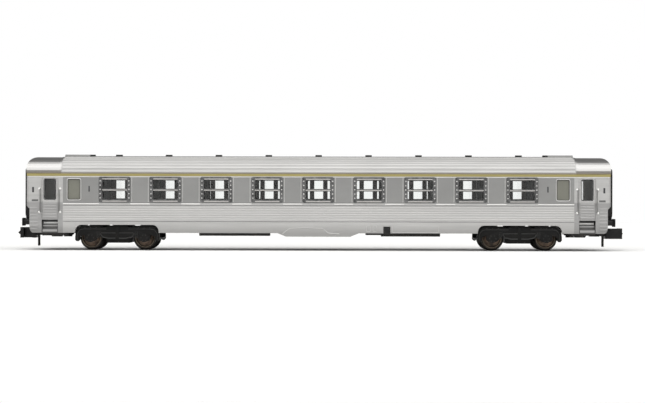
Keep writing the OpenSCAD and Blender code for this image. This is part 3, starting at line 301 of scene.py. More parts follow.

# %% [markdown]
# ## The silver body
# The window band between the doors is smooth, so it mirrors the darker room and reads as mid
# grey. The ribbed lower side scatters the light and reads brighter. One material can hold both:
# a band on Z times a band on the distance from the middle says where the smooth panels are, and
# that mask picks the roughness and a darker tone, which is a painted reflection of the darker room.

# %% Silver side
WAIST, BAND_TOP, BAND_END = 12.6, 19.35, 67.3
# The smooth panels' darker tone is a painted reflection of the darker room; their lower roughness is
# their own.
PANEL_REFLECTION_LIGHT, PANEL_REFLECTION_DARK, PANEL_ROUGH = (0.3, 0.3, 0.295, 1), (0.235, 0.235, 0.23, 1), 0.3
# The foot and end tones are painted shade: darker at the skirt's foot and on the walls beyond the
# doors.
SKIRT_DIM_Z, SKIRT_FADE, FOOT_PAINTED_SHADE = 4.6, 2.4, (0.3, 0.297, 0.29, 1)
END_PAINTED_SHADE, END_FADE = (0.72, 0.72, 0.725, 1), 0.3
CRISP = 0.05
FAR_BELOW, FAR_BEYOND = -1.0, 1.0
side_silver, tree, shader = finish(
    "silver_side", (0.47, 0.466, 0.458), (0.38, 0.376, 0.37), 0.34, 0.48, 0.45,
    stretch=(60.0, 200.0, 900.0), contrast=1.8, grain_stretch=DRAWN, bump=0.2, depth=0.012,
    dusty=0.12, reach=7.0)
coords = put(tree, "ShaderNodeTexCoord")
axes = put(tree, "ShaderNodeSeparateXYZ", {0: coords.outputs["Object"]})
along = put(tree, "ShaderNodeMath", {0: axes.outputs["X"]}, operation="ABSOLUTE")
high_band = shade(tree, band, {
    "Value": axes.outputs["Z"], "From": WAIST * MM, "To": BAND_TOP * MM, "Soft": CRISP * MM})
mid_band = shade(tree, band, {
    "Value": along.outputs[0], "From": FAR_BELOW, "To": BAND_END * MM, "Soft": CRISP * MM})
smooth_panel = put(tree, "ShaderNodeMath", {
    0: high_band.outputs[0], 1: mid_band.outputs[0]}, operation="MULTIPLY")
shaded = shade(tree, patches, {
    "Light": PANEL_REFLECTION_LIGHT, "Dark": PANEL_REFLECTION_DARK, "Stretch": (90.0, 90.0, 160.0), "Contrast": 1.2})
lit_colour = shader.inputs["Base Color"].links[0].from_socket
lit_rough = shader.inputs["Roughness"].links[0].from_socket
colour = put(tree, "ShaderNodeMix", {
    0: smooth_panel.outputs[0], 6: lit_colour, 7: shaded.outputs["Color"]}, data_type="RGBA")
rough = put(tree, "ShaderNodeMix", {
    0: smooth_panel.outputs[0], 2: lit_rough, 3: PANEL_ROUGH}, data_type="FLOAT")
tree.links.new(rough.outputs[0], shader.inputs["Roughness"])
print("smooth panels from", WAIST, "to", BAND_TOP, "mm up")

# %% [markdown]
# ## Painted shade on the side's foot and ends
# The foot of the skirt and the walls beyond the doors are painted a tone darker than the ribbed
# side, as painted shade, so two more bands lower the colour there. Both are fixed to the coach, so
# they stay put from any side.

# %% Painted shade on the foot and ends of the side
low_band = shade(tree, band, {
    "Value": axes.outputs["Z"], "From": FAR_BELOW, "To": SKIRT_DIM_Z * MM, "Soft": SKIRT_FADE * MM})
shaded_foot = put(tree, "ShaderNodeMix", {
    0: low_band.outputs[0], 6: colour.outputs[2], 7: FOOT_PAINTED_SHADE}, data_type="RGBA")
beyond = put(tree, "ShaderNodeMath", {0: 1.0, 1: mid_band.outputs[0]}, operation="SUBTRACT")
below = shade(tree, band, {
    "Value": axes.outputs["Z"], "From": FAR_BELOW, "To": WAIST * MM, "Soft": END_FADE * MM})
end_zone = put(tree, "ShaderNodeMath", {
    0: beyond.outputs[0], 1: below.outputs[0]}, operation="MULTIPLY")
dimmed_end = put(tree, "ShaderNodeMix", {
    0: end_zone.outputs[0], 6: shaded_foot.outputs[2], 7: END_PAINTED_SHADE},
    data_type="RGBA", blend_type="MULTIPLY")
tree.links.new(dimmed_end.outputs[2], shader.inputs["Base Color"])
materials["silver_body"] = side_silver
print("silver side:", len(tree.nodes), "nodes")

# %% [markdown]
# ## The silver roof
# The middle of the roof is matt and ribbed. Both ends are smooth and bright, and a painted
# reflection of the dark room below turns them browner towards the gutter. Two materials would need
# the roof cut in two, so one material holds both, parted by the same band group on the distance
# from the middle.

# %% Silver roof
ROOF_SMOOTH, MIDDLE_METAL, END_METAL = 9.2, 0.3, 0.95
# The browner colour low on the roof ends is a painted reflection of the dark room below.
ROOF_END_HIGH, ROOF_END_PAINTED_REFLECTION, ROOF_END_FADE = (0.37, 0.366, 0.36, 1), (0.17, 0.145, 0.11, 1), 1.1
ROOF_END_ROUGH, ROOF_END_EDGE = 0.3, 0.02
roof_silver, tree, shader = finish(
    "silver_roof", (0.42, 0.416, 0.41), (0.33, 0.327, 0.32), 0.45, 0.6, MIDDLE_METAL,
    stretch=(60.0, 400.0, 400.0), contrast=1.6, grain_stretch=DRAWN, bump=0.2, depth=0.012)
coords = put(tree, "ShaderNodeTexCoord")
axes = put(tree, "ShaderNodeSeparateXYZ", {0: coords.outputs["Object"]})
along = put(tree, "ShaderNodeMath", {0: axes.outputs["X"]}, operation="ABSOLUTE")
end_band = shade(tree, band, {
    "Value": along.outputs[0], "From": (HALF - ROOF_SMOOTH) * MM, "To": FAR_BEYOND,
    "Soft": ROOF_END_EDGE * MM})
lit_rough = shader.inputs["Roughness"].links[0].from_socket
lit_colour = shader.inputs["Base Color"].links[0].from_socket
rough = put(tree, "ShaderNodeMix", {
    0: end_band.outputs[0], 2: lit_rough, 3: ROOF_END_ROUGH}, data_type="FLOAT")
metal = put(tree, "ShaderNodeMix", {
    0: end_band.outputs[0], 2: MIDDLE_METAL, 3: END_METAL}, data_type="FLOAT")
end_reflection_band = shade(tree, band, {
    "Value": axes.outputs["Z"], "From": FAR_BELOW, "To": CANTRAIL * MM, "Soft": ROOF_END_FADE * MM})
end_colour = put(tree, "ShaderNodeMix", {
    0: end_reflection_band.outputs[0], 6: ROOF_END_HIGH, 7: ROOF_END_PAINTED_REFLECTION}, data_type="RGBA")
bright = put(tree, "ShaderNodeMix", {
    0: end_band.outputs[0], 6: lit_colour, 7: end_colour.outputs[2]}, data_type="RGBA")
tree.links.new(rough.outputs[0], shader.inputs["Roughness"])
tree.links.new(metal.outputs[0], shader.inputs["Metallic"])
tree.links.new(bright.outputs[2], shader.inputs["Base Color"])
materials["silver_roof"] = roof_silver
print("silver roof:", len(tree.nodes), "nodes")

# %% [markdown]
# ## Relief finishes
# Beads, rivets and stripes could be drawn as masks in the body's material. They are separate
# pieces instead, so each takes one plain finish of its own and has a true edge.

# %% Relief finishes
# The beads' lighter silver is a painted highlight on the same steel as the wall.
bead_painted_highlight = finish("bead_painted_highlight", (0.62, 0.615, 0.6), (0.5, 0.495, 0.485), 0.34, 0.48, 0.35,
                     grain_stretch=DRAWN, bump=0.15)[0]
rib_silver = finish("rib_silver", (0.47, 0.466, 0.458), (0.38, 0.376, 0.37), 0.34, 0.48, 0.45,
                    stretch=(50.0, 300.0, 900.0), grain_stretch=DRAWN, bump=0.15)[0]
rivet_silver = finish("rivet_silver", (0.62, 0.615, 0.6), (0.4, 0.4, 0.39), 0.35, 0.5, 0.4,
                      stretch=(1200.0, 1200.0, 1200.0), bump=0.1)[0]
roof_rib_silver = finish("roof_rib_silver", (0.5, 0.496, 0.487), (0.41, 0.407, 0.4), 0.4, 0.55, 0.3,
                         stretch=(60.0, 400.0, 400.0), grain_stretch=DRAWN, bump=0.15)[0]
strip_silver = finish("frame_strip_silver", (0.4, 0.39, 0.375), (0.32, 0.31, 0.3), 0.36, 0.5, 0.35,
                      bump=0.12)[0]
rail_grey = finish("handrail_grey", (0.2, 0.2, 0.195), (0.13, 0.13, 0.126), 0.35, 0.5, 0.5, bump=0.1)[0]
# The feet's near-white is a painted highlight.
foot_painted_highlight = finish("handrail_foot_painted_highlight", (0.85, 0.845, 0.83), (0.75, 0.745, 0.73), 0.3, 0.42, 0.2,
                    bump=0.1)[0]
# Painted light for the lit faces of the step risers, brightest on the top step.
step_painted_highlight = finish("step_nosing_painted_highlight", (0.92, 0.915, 0.9), (0.8, 0.795, 0.78), 0.4, 0.55, 0.2, bump=0.15)[0]
step_painted_light = finish("step_riser_painted_light", (0.34, 0.338, 0.334), (0.25, 0.248, 0.245), 0.4, 0.6, 0.3, bump=0.15)[0]
# Dark lines of painted shadow, above and below the waist bead and where the skirt curves in.
groove_painted_shadow = finish("groove_shadow", (0.2, 0.2, 0.2), (0.13, 0.13, 0.13), 0.5, 0.7, 0.2, bump=0.1)[0]
# Near-black bars of painted shade along the roof's crest.
crest_shade_paint = finish("roof_crest_painted_shade", (0.02, 0.02, 0.02), (0.012, 0.012, 0.012), 0.5, 0.7, 0.2, bump=0.1)[0]
# A brown line of painted shade along the gutter.
gutter_painted_shade = finish("gutter_painted_shade", (0.22, 0.19, 0.15), (0.14, 0.12, 0.095), 0.5, 0.7, bump=0.1)[0]
stripe_paint = finish("stripe_ochre", (0.33, 0.28, 0.1), (0.26, 0.22, 0.078), 0.35, 0.5, bump=0.12,
                      stretch=(120.0, 200.0, 900.0))[0]
plate_grey = finish("blank_plate_grey", (0.12, 0.12, 0.12), (0.08, 0.08, 0.08), 0.4, 0.55, bump=0.1)[0]
print_dark = finish("printed_mark", (0.03, 0.03, 0.035), (0.02, 0.02, 0.022), 0.45, 0.6, bump=0.1)[0]
print("finishes so far:", len(bpy.data.materials))

# %% [markdown]
# ## Glass
# Clear panes are a real transmitting plastic. Light would be lost in them, so a shadow ray sees
# them as fully clear, which keeps the seats inside lit. Toilet panes are the same plastic with a
# rough, tinted face.


# %% Glass
def pane_finish(name, tint, dark, smooth, rough, transmission, bump):
    """A transmitting plastic with its own tint and surface."""
    mat, tree, shader = finish(name, tint, dark, smooth, rough, contrast=1.0, bump=bump,
                               grain_stretch=(5000.0, 5000.0, 5000.0))
    shader.inputs["Transmission Weight"].default_value = transmission
    shader.inputs["IOR"].default_value = 1.49
    if transmission == 1.0:
        ray = put(tree, "ShaderNodeLightPath")
        clear = put(tree, "ShaderNodeBsdfTransparent")
        lets_light_in = put(tree, "ShaderNodeMixShader", {
            0: ray.outputs["Is Shadow Ray"], 1: shader.outputs[0], 2: clear.outputs[0]})
        tree.links.new(lets_light_in.outputs[0], tree.nodes["Material Output"].inputs["Surface"])
    return mat


materials["clear_glazing"] = pane_finish(
    "clear_pane", (0.97, 0.98, 0.97), (0.95, 0.96, 0.95), 0.01, 0.03, 1.0, 0.01)
materials["frosted_glazing"] = pane_finish(
    "frosted_pane", (0.2, 0.2, 0.165), (0.15, 0.15, 0.125), 0.4, 0.6, 0.15, 0.4)
for node in cad.values():
    slot = node.data.materials[0].name.split(".")[0]
    if slot not in materials:
        raise SystemExit(f"no finish for slot {slot} of {node.name}")
    node.data.materials[0] = materials[slot]
print("slots of the frame with a finish:", len(materials))

# %% [markdown]
# ## Trees that repeat a shape
# Ribs, rivets, beads and bolts are small shapes in regular places, so Geometry Nodes make them.
# Each tree takes points, puts one shape or one pattern of shapes on every point, and ends in
# Realize Instances and Set Material. Every pattern is drawn facing -Y, the compartment side.


# %% Growing a piece from a tree
def new_grower(name, inputs):
    """A geometry tree with named inputs and a Material input. Returns tree, input and output node."""
    inputs = [("Geometry", "Geometry", None)] + inputs + [("Material", "Material", None)]
    return new_group(name, "GeometryNodeTree", inputs, [("Geometry", "Geometry")])


def close_grower(tree, g_in, g_out, geometry):
    """Ends a tree: instances are made real and take the piece's material."""
    real = put(tree, "GeometryNodeRealizeInstances", {"Geometry": geometry})
    painted = put(tree, "GeometryNodeSetMaterial", {
        "Geometry": real.outputs[0], "Material": g_in.outputs["Material"]})
    tree.links.new(painted.outputs[0], g_out.inputs[0])
    print(f"{tree.name}: {len(tree.nodes)} nodes")


def mesh_of(points, edges=()):
    """A mesh of bare points, given in mm, that a tree can work on."""
    mesh = bpy.data.meshes.new("points")
    mesh.from_pydata([Vector(p) * MM for p in points], list(edges), [])
    return mesh


def grow(tree, base, material, values):
    """Runs a tree on a base mesh and returns the plain mesh that it makes."""
    seed = bpy.data.objects.new("seed", base)
    scene.collection.objects.link(seed)
    modifier = seed.modifiers.new("grow", "NODES")
    modifier.node_group = tree
    ids = {item.name: item.identifier for item in tree.interface.items_tree
           if item.item_type == "SOCKET" and item.in_out == "INPUT"}
    modifier[ids["Material"]] = material
    for label, value in values.items():
        modifier[ids[label]] = value
    bpy.context.view_layer.update()
    grown = bpy.data.meshes.new_from_object(seed.evaluated_get(bpy.context.evaluated_depsgraph_get()))
    seed.modifiers.remove(modifier)
    bpy.data.objects.remove(seed)
    return grown


# %% [markdown]
# ## Joining meshes into a piece
# The coach is the same from both sides, so a mesh made for one side is turned half round for the
# other. A scale of minus one would do that too, but it turns the faces inside out.


# %% Both sides, and a finished piece
def turned(mesh):
    """The mesh turned half round, for the other side or the other end."""
    copy = mesh.copy()
    copy.transform(Matrix.Rotation(math.pi, 4, "Z"))
    return copy


def both_sides(meshes):
    """Each mesh with its copy on the other side."""
    return [part for mesh in meshes for part in (mesh, turned(mesh))]


def piece(name, meshes, body, smooth_angle=40.0, replaces=()):
    """Joins meshes into one object that rides on a body, with sharp edges kept sharp."""
    bm = bmesh.new()
    palette = []
    for mesh in meshes:
        first = len(bm.faces)
        bm.from_mesh(mesh)
        bm.faces.ensure_lookup_table()
        own = []
        for material in mesh.materials:
            if material not in palette:
                palette.append(material)
            own.append(palette.index(material))
        for face in bm.faces[first:]:
            face.material_index = own[face.material_index]
    joined = bpy.data.meshes.new(name)
    bm.to_mesh(joined)
    bm.free()
    for material in palette:
        joined.materials.append(material)
    joined.shade_smooth()
    joined.set_sharp_from_angle(angle=math.radians(smooth_angle))
    made = bpy.data.objects.new(name, joined)
    scene.collection.objects.link(made)
    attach(made, body)
    if replaces:
        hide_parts(*replaces)
    print(f"{name}: {len(joined.polygons)} faces")
    return made


# %% A stack of half-round bars
bars, g_in, g_out = new_grower("bar_stack", [
    ("Length", "Float", 1.0), ("Width", "Float", 0.1), ("Rise", "Float", 0.05),
    ("Pitch", "Float", 0.5), ("Count", "Int", 4)])
rod = put(bars, "GeometryNodeMeshCylinder", {
    "Vertices": 10, "Radius": 0.5, "Depth": g_in.outputs["Length"]})
laid = put(bars, "GeometryNodeTransform", {
    "Geometry": rod.outputs["Mesh"], "Rotation": (0, math.pi / 2, 0)})
doubled = put(bars, "ShaderNodeMath", {0: g_in.outputs["Rise"], 1: 2.0}, operation="MULTIPLY")
size = put(bars, "ShaderNodeCombineXYZ", {0: 1.0, 1: doubled.outputs[0], 2: g_in.outputs["Width"]})
flat = put(bars, "GeometryNodeTransform", {"Geometry": laid.outputs[0], "Scale": size.outputs[0]})
step = put(bars, "ShaderNodeCombineXYZ", {0: 0.0, 1: 0.0, 2: g_in.outputs["Pitch"]})
line = put(bars, "GeometryNodeMeshLine", {"Count": g_in.outputs["Count"], "Offset": step.outputs[0]})
stack = put(bars, "GeometryNodeInstanceOnPoints", {
    "Points": line.outputs[0], "Instance": flat.outputs[0]})
spots = put(bars, "GeometryNodeInstanceOnPoints", {
    "Points": g_in.outputs["Geometry"], "Instance": stack.outputs[0]})
close_grower(bars, g_in, g_out, spots.outputs[0])

# %% A bead round a rounded rectangle
ring, g_in, g_out = new_grower("bead_ring", [
    ("Width", "Float", 1.0), ("Height", "Float", 1.0),
    ("Corner", "Float", 0.1), ("Thickness", "Float", 0.1)])
box = put(ring, "GeometryNodeCurvePrimitiveQuadrilateral", {
    "Width": g_in.outputs["Width"], "Height": g_in.outputs["Height"]})
filleted = put(ring, "GeometryNodeFilletCurve", {
    "Curve": box.outputs[0], "Count": 7, "Radius": g_in.outputs["Corner"]}, mode="POLY")
half = put(ring, "ShaderNodeMath", {0: g_in.outputs["Thickness"], 1: 0.5}, operation="MULTIPLY")
section = put(ring, "GeometryNodeCurvePrimitiveCircle", {"Resolution": 8, "Radius": half.outputs[0]})
tube = put(ring, "GeometryNodeCurveToMesh", {
    "Curve": filleted.outputs[0], "Profile Curve": section.outputs[0]})
standing = put(ring, "GeometryNodeTransform", {
    "Geometry": tube.outputs[0], "Rotation": (math.pi / 2, 0, 0)})
spots = put(ring, "GeometryNodeInstanceOnPoints", {
    "Points": g_in.outputs["Geometry"], "Instance": standing.outputs[0]})
close_grower(ring, g_in, g_out, spots.outputs[0])

# %% Round heads on points
studs, g_in, g_out = new_grower("round_heads", [("Radius", "Float", 0.1), ("Rise", "Float", 0.05)])
ball = put(studs, "GeometryNodeMeshUVSphere", {"Segments": 10, "Rings": 6, "Radius": 1.0})
turn = put(studs, "GeometryNodeTransform", {
    "Geometry": ball.outputs["Mesh"], "Rotation": (math.pi / 2, 0, 0)})
size = put(studs, "ShaderNodeCombineXYZ", {
    0: g_in.outputs["Radius"], 1: g_in.outputs["Rise"], 2: g_in.outputs["Radius"]})
spots = put(studs, "GeometryNodeInstanceOnPoints", {
    "Points": g_in.outputs["Geometry"], "Instance": turn.outputs[0], "Scale": size.outputs[0]})
close_grower(studs, g_in, g_out, spots.outputs[0])

# %% Ribs that follow a section
shell_ribs, g_in, g_out = new_grower("section_ribs", [
    ("Length", "Float", 1.0), ("Width", "Float", 0.5), ("Rise", "Float", 0.1), ("Pitch", "Float", 1.0)])
path = put(shell_ribs, "GeometryNodeMeshToCurve", {"Mesh": g_in.outputs["Geometry"]})
stops = put(shell_ribs, "GeometryNodeCurveToPoints", {
    "Curve": path.outputs[0], "Length": g_in.outputs["Pitch"]}, mode="LENGTH")
outward = put(shell_ribs, "ShaderNodeVectorMath", {
    0: (1.0, 0.0, 0.0), 1: stops.outputs["Tangent"]}, operation="CROSS_PRODUCT")
facing = put(shell_ribs, "FunctionNodeAlignRotationToVector", {"Vector": outward.outputs[0]},
             axis="Z", pivot_axis="X")
rod = put(shell_ribs, "GeometryNodeMeshCylinder", {
    "Vertices": 12, "Radius": 0.5, "Depth": g_in.outputs["Length"]})
laid = put(shell_ribs, "GeometryNodeTransform", {
    "Geometry": rod.outputs["Mesh"], "Rotation": (0, math.pi / 2, 0)})
doubled = put(shell_ribs, "ShaderNodeMath", {0: g_in.outputs["Rise"], 1: 2.0}, operation="MULTIPLY")
size = put(shell_ribs, "ShaderNodeCombineXYZ", {
    0: 1.0, 1: g_in.outputs["Width"], 2: doubled.outputs[0]})
flat = put(shell_ribs, "GeometryNodeTransform", {"Geometry": laid.outputs[0], "Scale": size.outputs[0]})
spots = put(shell_ribs, "GeometryNodeInstanceOnPoints", {
    "Points": stops.outputs["Points"], "Instance": flat.outputs[0], "Rotation": facing.outputs[0]})
close_grower(shell_ribs, g_in, g_out, spots.outputs[0])

# %% A round wire along a bent path
wire, g_in, g_out = new_grower("bent_wire", [("Bend", "Float", 0.2), ("Thickness", "Float", 0.1)])
path = put(wire, "GeometryNodeMeshToCurve", {"Mesh": g_in.outputs["Geometry"]})
bent = put(wire, "GeometryNodeFilletCurve", {
    "Curve": path.outputs[0], "Count": 4, "Radius": g_in.outputs["Bend"]}, mode="POLY")
half = put(wire, "ShaderNodeMath", {0: g_in.outputs["Thickness"], 1: 0.5}, operation="MULTIPLY")
section = put(wire, "GeometryNodeCurvePrimitiveCircle", {"Resolution": 8, "Radius": half.outputs[0]})
tube = put(wire, "GeometryNodeCurveToMesh", {
    "Curve": bent.outputs[0], "Profile Curve": section.outputs[0], "Fill Caps": True})
close_grower(wire, g_in, g_out, tube.outputs[0])

# %% [markdown]
# ## The ribbed side
# Below the waist the real coach has pressed horizontal ribs in its stainless sheet. Bump could
# fake them, but low bars, half sunk in the wall, catch the light along their whole length. Narrow
# ribbed panels close the corners beyond the doors. A bead caps the waist between two dark lines of
# painted shadow, a third such line marks where the skirt starts to curve in, and a thin bead runs
# under the stripe. The beads' lighter silver is a painted highlight, and a brown line along the
# gutter is painted shade.

# %% Ribs of the sides
RIB_LOW, RIB_PITCH, RIB_COUNT, RIB_WIDTH, RIB_RISE = 8.2, 0.62, 6, 0.42, 0.032
CORNER_X, CORNER_LOW, CORNER_PITCH, CORNER_COUNT = 75.0, 5.6, 0.92, 7
CORNER_LENGTH, CORNER_WIDTH, CORNER_RISE = 2.0, 0.46, 0.05
SIDE_RUN = 2 * BAND_END
side_ribs = grow(bars, mesh_of([(0, -SIDE, RIB_LOW)]), rib_silver, {
    "Length": SIDE_RUN * MM, "Width": RIB_WIDTH * MM, "Rise": RIB_RISE * MM,
    "Pitch": RIB_PITCH * MM, "Count": RIB_COUNT})
corners = mesh_of([(x, -SIDE, CORNER_LOW) for x in (-CORNER_X, CORNER_X)])
corner_ribs = grow(bars, corners, side_silver, {
    "Length": CORNER_LENGTH * MM, "Width": CORNER_WIDTH * MM, "Rise": CORNER_RISE * MM,
    "Pitch": CORNER_PITCH * MM, "Count": CORNER_COUNT})
piece("side_ribs", both_sides([side_ribs, corner_ribs]), "coach")

# %% Beads of the sides
WAIST_BEAD, BEAD_WIDTH, BEAD_RISE = 12.26, 0.42, 0.16
SKIRT_LINE, TOP_BEAD, TOP_IN = 7.68, 19.42, 0.4
GROOVE_WIDTH, GROOVE_RISE, GROOVE_BELOW, GROOVE_ABOVE = 0.16, 0.04, 0.33, 0.36
GUTTER_IN, GUTTER_UP, GUTTER_OUT = 0.5, 0.16, 0.12


def single_bars(points, length, width, rise, material):
    """One bar of the same length on each point, all in mm."""
    return grow(bars, mesh_of(points), material, {
        "Length": length * MM, "Width": width * MM, "Rise": rise * MM, "Pitch": 1.0, "Count": 1})


def bead(x0, x1, z, width, rise, material=bead_painted_highlight, y=-SIDE):
    """One long bead on the compartment side, from x0 to x1."""
    return single_bars([((x0 + x1) / 2, y, z)], x1 - x0, width, rise, material)


def gaps_between(windows, reach):
    """The stretches of wall beside and between the windows of one side."""
    edges = [-reach] + [x for c, s in windows for x in (c.x - s.x / 2, c.x + s.x / 2)] + [reach]
    return list(zip(edges[::2], edges[1::2]))


def waist_beads(windows):
    """The waist bead of one side, broken at each window."""
    return [bead(x0, x1, WAIST_BEAD, BEAD_WIDTH, BEAD_RISE)
            for x0, x1 in gaps_between(windows, SIDE_RUN / 2)]


far = [turned(mesh) for mesh in waist_beads(windows_far)]
piece("waist_beads", waist_beads(windows_near) + far, "coach")
run = (-SIDE_RUN / 2, SIDE_RUN / 2)
# Dark lines of painted shadow, a bead with a painted highlight, and a gutter line of painted shade.
lines = [
    bead(*run, SKIRT_LINE, GROOVE_WIDTH, GROOVE_RISE, groove_painted_shadow),
    bead(*run, WAIST_BEAD - GROOVE_BELOW, GROOVE_WIDTH, GROOVE_RISE, groove_painted_shadow),
    bead(*run, WAIST_BEAD + GROOVE_ABOVE, width=0.14, rise=0.03, material=groove_painted_shadow),
    bead(-HALF + TOP_IN, HALF - TOP_IN, TOP_BEAD, width=0.2, rise=0.08),
    bead(-HALF + GUTTER_IN, HALF - GUTTER_IN, CANTRAIL + GUTTER_UP, width=0.24, rise=0.03,
         material=gutter_painted_shade, y=-SIDE - GUTTER_OUT)]
piece("side_lines", both_sides(lines), "coach")

# %% [markdown]
# ## The painted stripe
# A thin ochre stripe runs below the gutter over the whole length. It could be a band in the
# body's material. A thin block of its own, a few hundredths proud, keeps a clean edge at any
# distance.


# %% Stripe
def slab(x0, x1, y0, y1, z0, z1, material):
    """A closed block between two corners, in mm."""
    bm = bmesh.new()
    bmesh.ops.create_cube(bm, size=1.0)
    for vert in bm.verts:
        vert.co = Vector((x0 if vert.co.x < 0 else x1, y0 if vert.co.y < 0 else y1,
                          z0 if vert.co.z < 0 else z1)) * MM
    mesh = bpy.data.meshes.new("slab")
    bm.to_mesh(mesh)
    bm.free()
    mesh.materials.append(material)
    return mesh


STRIPE_LOW, STRIPE_OUT, STRIPE_IN = 19.62, 0.03, 0.15
SUNK = 0.1
stripe = slab(-HALF + STRIPE_IN, HALF - STRIPE_IN, -SIDE - STRIPE_OUT, -SIDE + SUNK,
              STRIPE_LOW, CANTRAIL, stripe_paint)
piece("cantrail_stripes", both_sides([stripe]), "coach")

# %% [markdown]
# ## Window frames
# Each frame is a dark plate with a column of round rivets down each side, a light strip on its
# upper and lower rail and a bar across the window. A texture could show them, but at this size
# only real heads and bars catch the light along their upper edge.

# %% Rivets, strips and bars
RIVET_PITCH, RIVET_R, RIVET_RISE, RIVETS, RIVET_IN = 1.12, 0.19, 0.1, 5, 0.38
STRIP_WIDTH, STRIP_RISE, STRIP_IN, STRIP_SHORTER = 0.3, 0.07, 0.42, 1.9
CROSSBAR_RISE, CROSSBAR_BACK, CROSSBAR_SHORTER = 0.1, 0.12, 1.7
FRAME_FACE = -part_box("window_frames_compartment")[0].y / MM
TRIM_DROP = 0.18


def rivet_rows(centre, size):
    """Places of the two rivet columns of one window frame."""
    columns = [centre.x + side * (size.x / 2 - RIVET_IN) for side in (-1, 1)]
    return [(x, -FRAME_FACE, centre.z + (i - (RIVETS - 1) / 2) * RIVET_PITCH)
            for x in columns for i in range(RIVETS)]


def window_trim(windows):
    """Rivets, strips and bars of one side's windows, facing -Y."""
    rivets, strips, crossbars = [], [], []
    for centre, size in windows:
        rivets += rivet_rows(centre, size)
        middle_z = centre.z - TRIM_DROP
        strips += [(centre.x, -FRAME_FACE, middle_z + side * (size.z / 2 - STRIP_IN))
                   for side in (-1, 1)]
        crossbars.append((centre.x, -FRAME_FACE + CROSSBAR_BACK, middle_z))
    width = windows[0][1].x
    heads = grow(studs, mesh_of(rivets), rivet_silver, {
        "Radius": RIVET_R * MM, "Rise": RIVET_RISE * MM})
    rails = single_bars(strips, width - STRIP_SHORTER, STRIP_WIDTH, STRIP_RISE, strip_silver)
    across = single_bars(crossbars, width - CROSSBAR_SHORTER, STRIP_WIDTH, CROSSBAR_RISE, strip_silver)
    return [heads, rails, across]


piece("window_trim_compartment", window_trim(windows_near), "coach")
piece("window_trim_corridor", [turned(mesh) for mesh in window_trim(windows_far)],
      "coach")

# %% [markdown]
# ## Panels between the windows
# The wall between two frames is a smooth pressed panel with a fine upright fold near each frame.
# The fold is a thin wire half sunk in the wall, so its place follows from the frames' own boxes.
# Its lighter silver is a painted highlight.

# %% Folds of the window band
FOLD_IN, FOLD_THICK, FOLD_UP, FOLD_DOWN = 0.35, 0.14, 0.2, 0.1


def upright(x, z0, z1, thickness, material):
    """A thin upright rod on the compartment side."""
    return grow(wire, mesh_of([(x, -SIDE, z0), (x, -SIDE, z1)], [(0, 1)]), material, {
        "Bend": 0.0, "Thickness": thickness * MM})


panels = gaps_between(windows_near, SIDE_RUN / 2)[1:-1]
fold_rods = [upright(x, WAIST + FOLD_UP, BAND_TOP - FOLD_DOWN, FOLD_THICK, bead_painted_highlight)
             for x0, x1 in panels for x in (x0 + FOLD_IN, x1 - FOLD_IN)]
piece("panel_folds", both_sides(fold_rods), "coach")

# %% [markdown]
# ## Doors
# Each door is a recessed leaf with ribs below its window, a rim round its opening and a dark seal
# round its pane. The bar tree makes the ribs and the ring tree the rims and seals, because their
# sizes then come from the leaf's own sizes.

# %% Door ribs, rims and seals
DOOR_LOW, DOOR_HIGH, DOOR_W, DOOR_DEPTH = 8.26, 19.16, 4.2, 0.12
LEAF_RIB_LOW, LEAF_RIB_LENGTH, LEAF_RIB_WIDTH, LEAF_RIB_RISE = 8.75, 3.6, 0.42, 0.06
LEAF_RIB_PITCH, LEAF_RIB_COUNT = 0.72, 6
RIM_WIDER, SEAL_WIDER = 0.1, 0.05
leaf_y = -SIDE + DOOR_DEPTH
door_xs = [centre.x for centre, size in doors]


def rims_round(points, material, width, height, corner, thickness):
    """A rounded rim of one size on each point, all in mm."""
    return grow(ring, mesh_of(points), material, {
        "Width": width * MM, "Height": height * MM, "Corner": corner * MM, "Thickness": thickness * MM})


leaf_ribs = grow(bars, mesh_of([(x, leaf_y, LEAF_RIB_LOW) for x in door_xs]), side_silver, {
    "Length": LEAF_RIB_LENGTH * MM, "Width": LEAF_RIB_WIDTH * MM, "Rise": LEAF_RIB_RISE * MM,
    "Pitch": LEAF_RIB_PITCH * MM, "Count": LEAF_RIB_COUNT})
door_z = (DOOR_LOW + DOOR_HIGH) / 2
rims = rims_round([(x, -SIDE, door_z) for x in door_xs], side_silver, corner=0.4, thickness=0.2,
                  width=DOOR_W + RIM_WIDER, height=DOOR_HIGH - DOOR_LOW + RIM_WIDER)
pane_middle, pane_size = doors[0]
seals = rims_round([(x, leaf_y, pane_middle.z) for x in door_xs], print_dark, corner=0.4,
                   thickness=0.16, width=pane_size.x + SEAL_WIDER, height=pane_size.z + SEAL_WIDER)
piece("door_trim", both_sides([leaf_ribs, rims, seals]), "coach")

# %% [markdown]
# ## Handrails
# Two long handrails stand beside each door on small feet, whose near-white is a painted highlight.
# A bent wire along a path of four points gives the round bends at top and bottom in one step.

# %% Handrails and their feet
RAIL_X, RAIL_LOW, RAIL_HIGH, RAIL_OUT, RAIL_SUNK = 2.5, 10.1, 16.25, 0.32, 0.05
RAIL_BEND, RAIL_THICK, FOOT_OUT, FOOT_R, FOOT_RISE = 0.15, 0.2, 0.24, 0.32, 0.3
rails, feet = [], []
for door_x in door_xs:
    for side in (-1, 1):
        x = door_x + side * RAIL_X
        path = [(x, -SIDE + RAIL_SUNK, RAIL_LOW), (x, -SIDE - RAIL_OUT, RAIL_LOW),
                (x, -SIDE - RAIL_OUT, RAIL_HIGH), (x, -SIDE + RAIL_SUNK, RAIL_HIGH)]
        rails.append(grow(wire, mesh_of(path, [(0, 1), (1, 2), (2, 3)]), rail_grey, {
            "Bend": RAIL_BEND * MM, "Thickness": RAIL_THICK * MM}))
        feet += [(x + side * FOOT_OUT, -SIDE, z) for z in (RAIL_LOW, RAIL_HIGH)]
